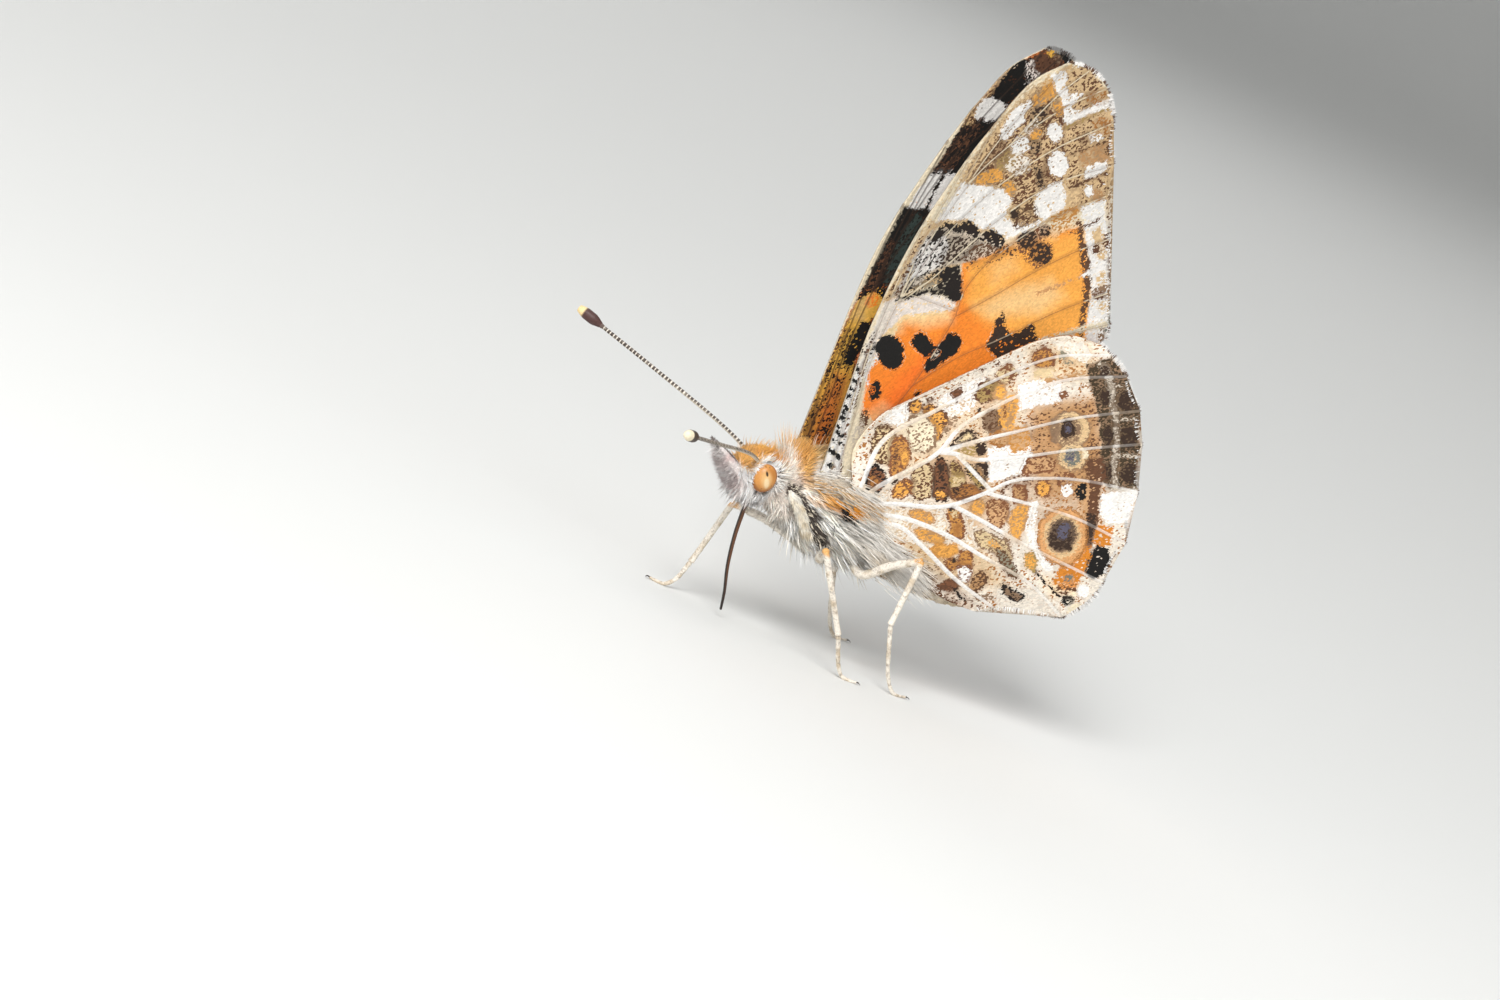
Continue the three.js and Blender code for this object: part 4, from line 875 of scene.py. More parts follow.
HIND_UNDERSIDE = [
    ("area", "shell", 0.05, [(1.48, 11.64), (1.25, 16.06), (2.99, 17.86), (6.33, 21.66), (9.93, 25.28),
        (13.17, 25.86), (16.3, 23.95), (19.4, 19.2), (20.83, 13.4), (20.9, 8.81), (17.35, 7.12),
        (12.01, 6.17), (7.36, 6.88), (3.21, 8.1)]),
    ("soft", "sand", 0.45, [(1.91, 15.24), (5.85, 18.84), (8.06, 21.64), (10.06, 20.48), (10.86, 15.91),
        (10.42, 9.44), (6.79, 8.06), (3.28, 10.91)]),
    ("soft", "cream", 0.0, [(2.9, 16.86), (4.92, 17.23), (6.19, 15.79), (4.98, 14.76), (3.92, 14.9)]),
    ("soft", "fawn", 0.45, [(5.61, 14.93), (9.08, 16.62), (11.69, 12.74), (9.84, 10.63), (7.17, 11.7)]),
    ("soft", "sand", 0.2, [(8.63, 23.39), (12.23, 25.14), (13.49, 23.76), (13.48, 23.2), (11.24, 22.47),
        (10.08, 21.32)]),
    ("soft", "fawn", 0.0, [(10.41, 20.06), (14.06, 22.32), (16.18, 19.22), (17.8, 15.07), (17.75, 12.23),
        (15.74, 15.69), (14.16, 15.08), (11.71, 16.24)]),
    ("soft", "tan", 0.35, [(11.25, 20.25), (14.18, 22.08), (15.93, 19.13), (15.11, 17.55), (12.85, 17.73)]),
    ("soft", "tan", 0.5, [(11.29, 15.03), (14.98, 17.08), (16.28, 15.19), (14.74, 13.9), (13.0, 11.83)]),
    ("soft", "sand", 0.2, [(5.22, 11.31), (8.38, 12.17), (11.5, 10.91), (14.33, 8.81), (11.28, 7.66),
        (7.69, 8.41)]),
    ("soft", "peach", 0.35, [(16.25, 10.24), (18.27, 10.87), (18.62, 9.87), (17.09, 9.43)]),
    ("area", "ochrebrown", 0.8, [(1.48, 11.64), (1.25, 16.06), (2.99, 17.86), (6.33, 21.66), (9.93, 25.28),
        (13.17, 25.86), (16.3, 23.95), (19.4, 19.2), (20.83, 13.4), (20.9, 8.81), (17.35, 7.12),
        (12.01, 6.17), (7.36, 6.88), (3.21, 8.1)]),
    ("area", "shell", 0.35, [(2.22, 13.14), (4.23, 13.36), (7.2, 13.11), (10.18, 12.16), (11.5, 10.91),
        (10.42, 9.44), (7.26, 9.29), (4.13, 9.15)]),
    ("area", "white", 0.3, [(4.84, 18.58), (6.73, 20.7), (7.56, 20.61), (7.11, 19.19), (7.09, 18.49),
        (5.82, 17.44), (4.94, 17.79)]),
    ("area", "dusk", 0.74, [(11.12, 13.92), (13.9, 17.08), (16.04, 18.61), (14.3, 22.13), (10.95, 20.13),
        (10.0, 17.67)]),
    ("area", "dusk", 0.72, [(5.76, 8.72), (6.86, 8.65), (11.28, 7.66), (13.75, 7.04), (11.62, 6.23),
        (8.49, 6.74), (6.05, 7.36)]),
    ("area", "white", 0.03, [(8.9, 16.69), (9.57, 17.09), (11.35, 17.85), (11.91, 17.16), (11.89, 16.17),
        (10.97, 15.4), (10.05, 14.63)]),
    ("area", "white", 0.06, [(9.06, 21.06), (10.27, 21.81), (11.48, 22.28), (12.05, 21.12), (10.84, 20.37),
        (9.8, 19.55)]),
    ("area", "white", 0.06, [(12.63, 14.36), (13.48, 14.68), (14.18, 12.98), (15.18, 11.82), (16.57, 11.07),
        (16.01, 10.72), (14.33, 11.78), (13.57, 12.75)]),
    ("area", "white", 0.1, [(2.19, 16.59), (3.04, 17.61), (3.6, 16.44), (2.93, 15.77), (1.98, 15.68)]),
    ("area", "shell", 0.1, [(10.03, 24.35), (11.84, 25.06), (12.66, 24.55), (12.59, 23.83), (10.44, 24.1)]),
    ("patch", ("gold", "dusk"), 0.2, [3.54, 17.39, 0.42, 0.35, 126]),
    ("spot", "dusk", 0.2, [4.23, 18.07, 0.25, 0.2, 31]),
    ("cell", ("gold", "dusk"), 0.39, [(4.16, 17.49), (4.43, 17.81), (4.99, 17.68), (5.52, 17.61),
        (5.87, 17.19), (5.71, 16.78), (5.78, 16.04), (5.57, 15.89), (5.32, 16.56), (4.73, 16.74),
        (4.36, 17.08)]),
    ("spot", "dusk", 0.25, [4.39, 17.44, 0.25, 0.16, 98]),
    ("cell", ("cream", "taupe"), 0.26, [(3.6, 16.58), (4.38, 17.02), (5.26, 16.53), (5.65, 15.58),
        (5.22, 14.99), (4.39, 14.81)]),
    ("cell", ("straw", "umber"), 0.5, [(1.91, 15.24), (2.46, 15.58), (2.98, 15.37), (3.24, 14.99),
        (3.25, 14.37), (3.6, 14.09), (3.61, 13.47), (2.81, 13.37), (2.32, 13.66), (2.07, 14.33),
        (2.05, 14.81)]),
    ("spot", "umber", 0.35, [2.27, 15.38, 0.42, 0.13, 21]),
    ("cell", ("ochre", "brown"), 0.44, [(3.34, 14.47), (3.36, 15.03), (3.63, 15.21), (4.1, 14.97),
        (4.47, 14.49), (4.54, 13.9), (4.29, 13.24), (3.98, 12.85), (3.72, 13.1), (3.59, 13.81)]),
    ("spot", "gold", 0.3, [4.25, 14.2, 0.38, 0.19, 107]),
    ("spot", "dusk", 0.3, [3.72, 13.99, 0.58, 0.13, 106]),
    ("cell", ("brown", "ink"), 0.5, [(2.38, 12.51), (2.74, 12.93), (3.39, 12.76), (3.73, 12.34),
        (3.6, 11.73), (2.88, 11.45)]),
    ("spot", "ochrebrown", 0.2, [3.02, 12.06, 0.3, 0.28, 153]),
    ("cell", ("brown", "dusk"), 0.49, [(5.44, 18.96), (5.65, 19.25), (5.86, 19.4), (5.91, 19.0),
        (5.82, 18.76)]),
    ("spot", "taupe", 0.45, [6.17, 17.44, 0.39, 0.26, 119]),
    ("spot", "taupe", 0.4, [6.04, 16.7, 0.23, 0.16, 120]),
    ("spot", "dusk", 0.35, [6.5, 21.17, 0.25, 0.2, 31]),
    ("spot", "dusk", 0.4, [7.17, 21.85, 0.27, 0.25, 158]),
    ("spot", "dusk", 0.25, [7.26, 20.5, 0.26, 0.16, 119]),
    ("cell", ("olive", "dusk"), 0.44, [(6.89, 20.08), (7.26, 20.5), (8.01, 20.72), (8.39, 20.38),
        (8.44, 19.99), (7.98, 19.74), (7.4, 19.17), (7.05, 19.31)]),
    ("spot", "sepia", 0.2, [7.4, 18.75, 0.17, 0.15, 157]),
    ("cell", ("taupe", "umber"), 0.44, [(8.21, 17.82), (7.92, 18.4), (7.99, 18.84), (8.35, 18.98),
        (8.77, 18.73), (9.11, 18.17), (9.07, 17.8), (8.59, 17.62)]),
    ("area", "sepia", 0.12, [(6.58, 15.87), (6.62, 16.37), (6.94, 16.91), (7.18, 17.28), (7.66, 17.47),
        (8.01, 17.18), (7.88, 16.72), (7.46, 16.41), (7.06, 16.05), (6.76, 15.8)]),
    ("area", "straw", 0.2, [(6.95, 16.29), (7.17, 16.72), (7.44, 17.03), (7.74, 17.01), (7.37, 16.59)]),
    ("area", "olive", 0.2, [(7.15, 15.74), (7.48, 16.07), (8.0, 16.48), (8.3, 16.74), (8.74, 16.14),
        (8.16, 15.85), (7.56, 15.62)]),
    ("area", "sepia", 0.15, [(8.09, 16.59), (8.31, 16.88), (8.7, 16.96), (8.96, 16.57), (8.98, 16.24),
        (8.52, 15.99)]),
    ("area", "sepia", 0.12, [(8.57, 15.45), (9.33, 15.81), (9.76, 14.93), (9.75, 14.51), (9.45, 14.67),
        (8.98, 15.05)]),
    ("spot", "tan", 0.2, [9.22, 15.0, 0.34, 0.13, 136]),
    ("cell", ("fawn", "ochrebrown"), 0.39, [(8.71, 17.38), (9.19, 17.85), (9.65, 18.1), (10.0, 17.96),
        (10.11, 17.44), (9.57, 17.09), (8.97, 17.14)]),
    ("cell", ("brown", "sepia"), 0.49, [(6.39, 14.19), (6.26, 14.77), (6.53, 14.94), (6.83, 14.78),
        (7.23, 14.24), (7.66, 13.64), (7.86, 13.09), (7.79, 12.64), (7.37, 12.48), (7.01, 12.62),
        (6.85, 13.25)]),
    ("spot", "sepia", 0.15, [6.7, 14.45, 0.29, 0.22, 122]),
    ("spot", "gold", 0.3, [7.41, 12.84, 0.29, 0.23, 13]),
    ("cell", ("straw", "dusk"), 0.39, [(5.19, 13.45), (5.26, 13.89), (5.74, 14.36), (6.15, 14.1),
        (6.49, 13.26), (6.8, 12.47), (6.14, 12.07), (5.64, 12.37), (5.41, 12.98)]),
    ("cell", ("olive", "umber"), 0.5, [(7.25, 14.94), (7.6, 14.94), (8.19, 14.61), (8.4, 14.34),
        (7.89, 14.21), (7.5, 14.41)]),
    ("cell", ("straw", "olive"), 0.34, [(7.71, 14.14), (8.34, 14.32), (8.71, 13.83), (8.32, 13.47),
        (7.96, 13.61)]),
    ("cell", ("ochrebrown", "dusk"), 0.44, [(8.02, 13.35), (8.41, 13.58), (8.63, 14.01), (9.23, 14.1),
        (9.85, 13.85), (9.76, 13.46), (8.82, 13.03), (8.19, 13.0)]),
    ("spot", "sepia", 0.2, [8.35, 13.41, 0.26, 0.16, 18]),
    ("cell", ("olive", "sepia"), 0.5, [(8.06, 15.18), (8.48, 15.21), (9.51, 14.56), (9.83, 14.33),
        (9.53, 14.22), (8.58, 14.69)]),
    ("cell", ("gold", "brown"), 0.39, [(4.41, 12.11), (4.6, 12.6), (5.02, 12.9), (5.38, 12.76), (5.46, 12.3),
        (5.12, 11.82), (4.64, 11.64)]),
    ("spot", "sepia", 0.3, [4.33, 12.57, 0.22, 0.2, 43]),
    ("cell", ("gold", "tan"), 0.44, [(6.11, 11.09), (6.6, 11.41), (7.31, 11.41), (7.67, 11.13),
        (7.33, 10.79), (6.52, 10.83)]),
    ("line", "taupe", 0.35, [0.14, (5.28, 11.19), (6.78, 11.77), (8.44, 12.33)]),
    ("cell", ("ochre", "brown"), 0.39, [(8.26, 12.26), (8.68, 12.42), (9.13, 12.1), (9.48, 11.68),
        (9.89, 11.27), (9.91, 10.79), (9.42, 10.61), (9.06, 10.75), (9.02, 11.29), (8.58, 11.75)]),
    ("spot", "straw", 0.2, [8.79, 12.05, 0.26, 0.19, 122]),
    ("spot", "ochrebrown", 0.2, [9.46, 11.11, 0.3, 0.22, 123]),
    ("spot", "sepia", 0.25, [8.53, 12.29, 0.23, 0.11, 19]),
    ("cell", ("gold", "tan"), 0.34, [(9.65, 12.79), (9.75, 13.18), (10.14, 13.4), (10.44, 13.1),
        (10.4, 12.73), (10.0, 12.51)]),
    ("cell", ("fawn", "brown"), 0.36, [(10.6, 13.51), (11.15, 13.86), (11.75, 13.81), (12.07, 13.3),
        (12.02, 12.65), (11.8, 12.22), (11.32, 12.31), (10.85, 12.83)]),
    ("spot", "brown", 0.35, [11.5, 13.71, 0.26, 0.2, 14]),
    ("cell", ("gold", "tan"), 0.39, [(6.93, 10.14), (7.38, 10.39), (8.25, 10.37), (8.87, 10.26), (8.9, 9.92),
        (8.06, 9.88), (7.37, 9.82)]),
    ("cell", ("gold", "ochre"), 0.34, [(8.47, 9.47), (8.65, 9.82), (9.32, 9.94), (9.83, 10.2), (10.1, 9.81),
        (9.73, 9.39), (8.97, 9.17)]),
    ("cell", ("straw", "taupe"), 0.34, [(10.64, 11.35), (11.07, 11.65), (11.85, 11.53), (12.72, 11.51),
        (13.11, 11.17), (13.58, 10.64), (13.04, 10.58), (12.07, 10.77), (11.2, 10.79)]),
    ("spot", "gold", 0.3, [12.2, 11.1, 0.48, 0.19, 171]),
    ("line", "taupe", 0.3, [0.14, (9.46, 12.3), (10.51, 12.21), (12.1, 11.91), (12.79, 11.68)]),
    ("cell", ("ochre", "brown"), 0.39, [(10.34, 9.9), (10.79, 10.15), (11.15, 9.72), (11.38, 9.24),
        (11.07, 8.99), (10.53, 9.2)]),
    ("cell", ("ochre", "brown"), 0.39, [(9.78, 8.99), (10.05, 9.3), (10.56, 9.15), (10.46, 8.76),
        (10.1, 8.62)]),
    ("spot", "sepia", 0.25, [10.23, 9.23, 0.17, 0.16, 154]),
    ("cell", ("white", "brown"), 0.19, [(10.68, 8.91), (11.26, 9.2), (11.61, 8.91), (11.69, 8.31),
        (11.17, 8.18)]),
    ("cell", ("tan", "umber"), 0.49, [(12.01, 7.94), (11.97, 8.62), (12.16, 9.12), (12.58, 9.0),
        (12.72, 8.56), (12.44, 7.96)]),
    ("area", "taupe", 0.75, [(7.69, 8.41), (8.96, 8.75), (9.97, 8.15), (10.07, 7.2), (8.99, 7.21)]),
    ("cell", ("brown", "dusk"), 0.5, [(10.19, 7.25), (10.47, 7.85), (10.84, 8.13), (11.28, 7.66),
        (10.76, 7.25)]),
    ("area", "ink", 0.2, [(10.98, 7.54), (11.46, 7.59), (12.18, 7.15), (11.84, 6.95)]),
    ("area", "taupe", 0.3, [(12.49, 7.55), (13.59, 8.11), (13.83, 7.78), (12.91, 7.29)]),
    ("area", "dusk", 0.2, [(8.2, 6.91), (9.4, 7.09), (10.96, 6.83), (11.87, 6.75), (11.2, 6.36), (9.27, 6.62)]),
    ("cell", ("straw", "brown"), 0.34, [(7.7, 21.64), (8.06, 21.92), (8.45, 21.86), (8.74, 21.56),
        (8.55, 21.21), (8.34, 20.78), (7.92, 20.89), (7.57, 21.17)]),
    ("spot", "brown", 0.3, [8.03, 21.7, 0.32, 0.13, 31]),
    ("cell", ("gold", "tan"), 0.34, [(7.97, 20.36), (8.3, 20.56), (8.56, 20.17), (8.41, 19.9), (8.08, 19.85)]),
    ("cell", ("tan", "gold"), 0.44, [(8.67, 19.66), (8.85, 20.01), (9.19, 20.21), (9.51, 19.71),
        (9.67, 19.08), (9.78, 18.42), (9.41, 18.28), (8.95, 18.8), (8.63, 19.3)]),
    ("spot", "brown", 0.4, [8.96, 19.22, 0.45, 0.13, 108]),
    ("cell", ("fawn", "ochre"), 0.39, [(9.92, 18.13), (10.2, 18.45), (10.65, 18.69), (11.0, 18.27),
        (11.29, 17.97), (11.2, 17.58), (10.56, 17.12), (10.21, 17.55)]),
    ("spot", "brown", 0.3, [9.51, 23.94, 0.29, 0.16, 19]),
    ("cell", ("ochre", "brown"), 0.39, [(9.23, 23.2), (9.5, 23.52), (9.89, 23.74), (10.43, 23.54),
        (10.6, 23.05), (10.35, 22.81), (9.75, 22.58), (9.34, 22.83)]),
    ("area", "straw", 0.15, [(9.71, 22.36), (10.71, 22.82), (10.94, 22.35), (9.91, 21.95)]),
    ("spot", "greyolive", 0.35, [11.0, 23.83, 0.27, 0.25, 159]),
    ("spot", "greyolive", 0.4, [11.56, 23.57, 0.26, 0.16, 18]),
    ("area", "tan", 0.35, [(10.33, 21.69), (11.21, 22.53), (12.88, 23.53), (13.21, 23.17), (11.6, 22.33),
        (10.56, 21.51)]),
    ("area", "taupe", 0.0, [(12.59, 23.83), (13.2, 24.35), (13.81, 24.86), (15.54, 24.01), (17.0, 22.83),
        (17.79, 20.97), (19.03, 19.06), (19.47, 17.89), (17.65, 17.13), (16.81, 17.36), (16.02, 18.95),
        (15.09, 20.69), (14.06, 22.04), (13.26, 22.77)]),
    ("area", "bark", 0.3, [(12.59, 23.83), (13.2, 24.35), (13.81, 24.86), (15.54, 24.01), (17.0, 22.83),
        (17.79, 20.97), (19.03, 19.06), (19.47, 17.89), (17.65, 17.13), (16.81, 17.36), (16.02, 18.95),
        (15.09, 20.69), (14.06, 22.04), (13.26, 22.77)]),
    ("area", "ash", 0.72, [(13.38, 24.14), (13.74, 24.42), (14.87, 23.33), (15.54, 22.26), (16.39, 20.85),
        (17.44, 18.45), (17.96, 17.39), (17.53, 17.22), (16.83, 18.78), (16.2, 20.35), (15.32, 21.83),
        (14.67, 22.83)]),
    ("line", "ash", 0.35, [0.16, (13.26, 24.23), (14.03, 23.56), (14.8, 23.16)]),
    ("line", "ash", 0.4, [0.16, (14.8, 23.16), (15.14, 22.18), (15.91, 21.36), (16.79, 19.6), (16.96, 18.83),
        (17.72, 17.43)]),
    ("spot", "sepia", 0.15, [13.79, 23.88, 0.38, 0.3, 102]),
    ("spot", "sepia", 0.1, [14.61, 22.39, 0.46, 0.32, 122]),
    ("spot", "sepia", 0.1, [16.0, 22.65, 0.6, 0.51, 133]),
    ("spot", "sepia", 0.1, [15.86, 20.29, 0.59, 0.33, 119]),
    ("spot", "sepia", 0.1, [17.2, 20.67, 0.67, 0.58, 134]),
    ("spot", "sepia", 0.1, [18.29, 18.5, 0.62, 0.56, 158]),
    ("spot", "sepia", 0.15, [16.88, 18.09, 0.53, 0.33, 120]),
    ("line", "ash", 0.3, [0.15, (14.96, 23.29), (16.05, 23.58)]),
    ("line", "ash", 0.3, [0.15, (15.91, 21.36), (17.23, 21.94)]),
    ("line", "ash", 0.3, [0.15, (16.97, 19.25), (18.46, 19.76)]),
    ("line", "ash", 0.25, [0.19, (17.38, 17.09), (19.37, 17.79)]),
    ("area", "white", 0.04, [(17.19, 16.45), (17.71, 17.01), (19.25, 17.74), (19.76, 15.54), (18.41, 15.02),
        (17.62, 15.43)]),
    ("area", "dusk", 0.1, [(15.0, 18.07), (16.17, 18.8), (17.0, 17.72), (16.92, 16.84), (17.59, 15.34),
        (17.85, 14.53), (18.13, 13.36), (18.06, 12.77), (17.55, 13.21), (16.92, 15.09), (16.45, 16.31),
        (15.89, 17.15), (15.22, 17.04)]),
    ("area", "sepia", 0.2, [(16.86, 15.06), (17.35, 15.25), (17.85, 14.38), (18.04, 13.4), (17.59, 13.44)]),
    ("area", "tan", 0.3, [(13.9, 17.08), (15.18, 17.72), (15.89, 17.15), (15.34, 16.8), (14.19, 16.5)]),
    ("area", "rust", 0.08, [(17.79, 14.36), (17.95, 14.77), (18.87, 14.98), (19.04, 14.34), (19.15, 13.82),
        (18.62, 13.41), (18.08, 13.63)]),
    ("area", "jet", 0.03, [(18.12, 12.65), (18.44, 13.48), (19.15, 13.54), (19.84, 12.88), (19.76, 12.0),
        (19.08, 11.32), (18.35, 11.61)]),
    ("area", "rust", 0.1, [(16.75, 11.29), (17.26, 12.33), (17.58, 13.15), (18.19, 13.25), (18.36, 12.46),
        (18.41, 11.49), (18.45, 10.51), (17.71, 9.95), (16.86, 10.19)]),
    ("spot", "jet", 0.08, [18.28, 9.53, 0.4, 0.33, 8]),
    ("line", "ink", 0.15, [0.15, (15.28, 10.58), (16.27, 10.04), (17.61, 9.56), (18.62, 9.73)]),
    ("spot", "white", 0.04, [18.94, 10.41, 0.47, 0.39, 129]),
    ("spot", "cream", 0.08, [19.16, 9.08, 0.54, 0.46, 4]),
    ("area", "shell", 0.1, [(13.72, 8.58), (15.56, 9.28), (17.81, 9.14), (18.53, 7.99), (17.11, 7.6),
        (15.1, 7.55), (14.13, 7.75)]),
    ("cell", ("taupe", "ink"), 0.5, [(13.97, 8.82), (14.52, 8.74), (15.43, 8.66), (15.33, 8.27),
        (14.39, 8.41)]),
    ("cell", ("gold", "olive"), 0.34, [(14.32, 11.21), (14.63, 11.47), (15.11, 11.08), (15.22, 10.56),
        (14.67, 10.64)]),
    ("cell", ("greyolive", "umber"), 0.44, [(12.44, 10.91), (13.1, 10.74), (13.94, 10.22), (14.38, 9.75),
        (14.05, 9.69), (13.21, 10.08)]),
    ("cell", ("fawn", "brown"), 0.34, [(11.78, 16.97), (12.64, 17.44), (13.36, 17.44), (13.41, 16.9),
        (12.43, 16.38), (11.88, 16.03)]),
    ("patch", ("gold", "brown"), 0.2, [13.47, 15.59, 0.46, 0.39, 128]),
    ("cell", ("tan", "brown"), 0.44, [(11.68, 14.97), (12.29, 15.21), (12.7, 14.52), (12.17, 14.11)]),
    ("cell", ("gold", "tan"), 0.39, [(12.31, 13.53), (12.5, 14.03), (12.99, 14.21), (13.28, 13.48),
        (13.32, 12.66), (13.37, 11.97), (12.77, 12.3), (12.36, 12.99)]),
    ("area", "brown", 0.3, [(13.74, 16.67), (14.32, 17.11), (15.04, 17.11), (15.21, 16.47), (14.24, 16.1)]),
    ("spot", "greygreen", 0.3, [17.66, 10.78, 0.31, 0.28, 155]),
    ("area", "dusk", 0.3, [(17.22, 10.33), (17.71, 10.23), (18.27, 10.59), (18.57, 10.27), (17.82, 9.71),
        (17.21, 9.76)]),
    ("spot", "brown", 0.15, [12.06, 21.54, 0.3, 0.28, 158]),
    ("spot", "taupe", 0.1, [13.41, 19.69, 1.36, 1.19, 3]),
    ("spot", "sand", 0.0, [13.47, 19.71, 1.19, 1.03, 5]),
    ("spot", "taupe", 0.1, [13.31, 19.59, 0.91, 0.82, 146]),
    ("area", "taupe", 0.15, [(11.96, 19.83), (12.18, 20.12), (12.74, 19.43), (13.05, 18.51), (12.6, 18.54)]),
    ("spot", "sepia", 0.02, [13.28, 19.64, 0.62, 0.48, 124]),
    ("spot", "bluegrey", 0.1, [13.29, 19.71, 0.29, 0.19, 120]),
    ("spot", "taupe", 0.2, [14.31, 18.15, 1.03, 0.9, 2]),
    ("spot", "sand", 0.0, [14.31, 18.15, 0.9, 0.8, 178]),
    ("spot", "greygreen", 0.1, [14.25, 18.13, 0.6, 0.54, 174]),
    ("spot", "bluegrey", 0.35, [14.16, 18.17, 0.3, 0.26, 132]),
    ("area", "cream", 0.1, [(14.72, 18.8), (15.08, 18.94), (15.28, 18.53), (15.01, 18.35)]),
    ("spot", "white", 0.04, [14.96, 16.02, 0.43, 0.32, 123]),
    ("spot", "jet", 0.05, [15.88, 16.3, 0.55, 0.36, 112]),
    ("spot", "ochrebrown", 0.05, [16.03, 13.2, 2.0, 1.65, 128]),
    ("spot", "peach2", 0.0, [16.03, 13.2, 1.8, 1.49, 128]),
    ("spot", "sand", 0.05, [16.03, 13.2, 1.44, 1.19, 129]),
    ("spot", "taupe", 0.15, [16.0, 13.26, 1.17, 0.99, 114]),
    ("spot", "ocellus", 0.02, [16.0, 13.26, 1.04, 0.86, 112]),
    ("spot", "sepia", 0.25, [15.94, 13.09, 0.88, 0.73, 112]),
    ("spot", "bluegrey", 0.1, [15.95, 13.52, 0.49, 0.37, 108]),
    ("spot", "sepia", 0.2, [16.72, 12.68, 0.26, 0.2, 14]),
]

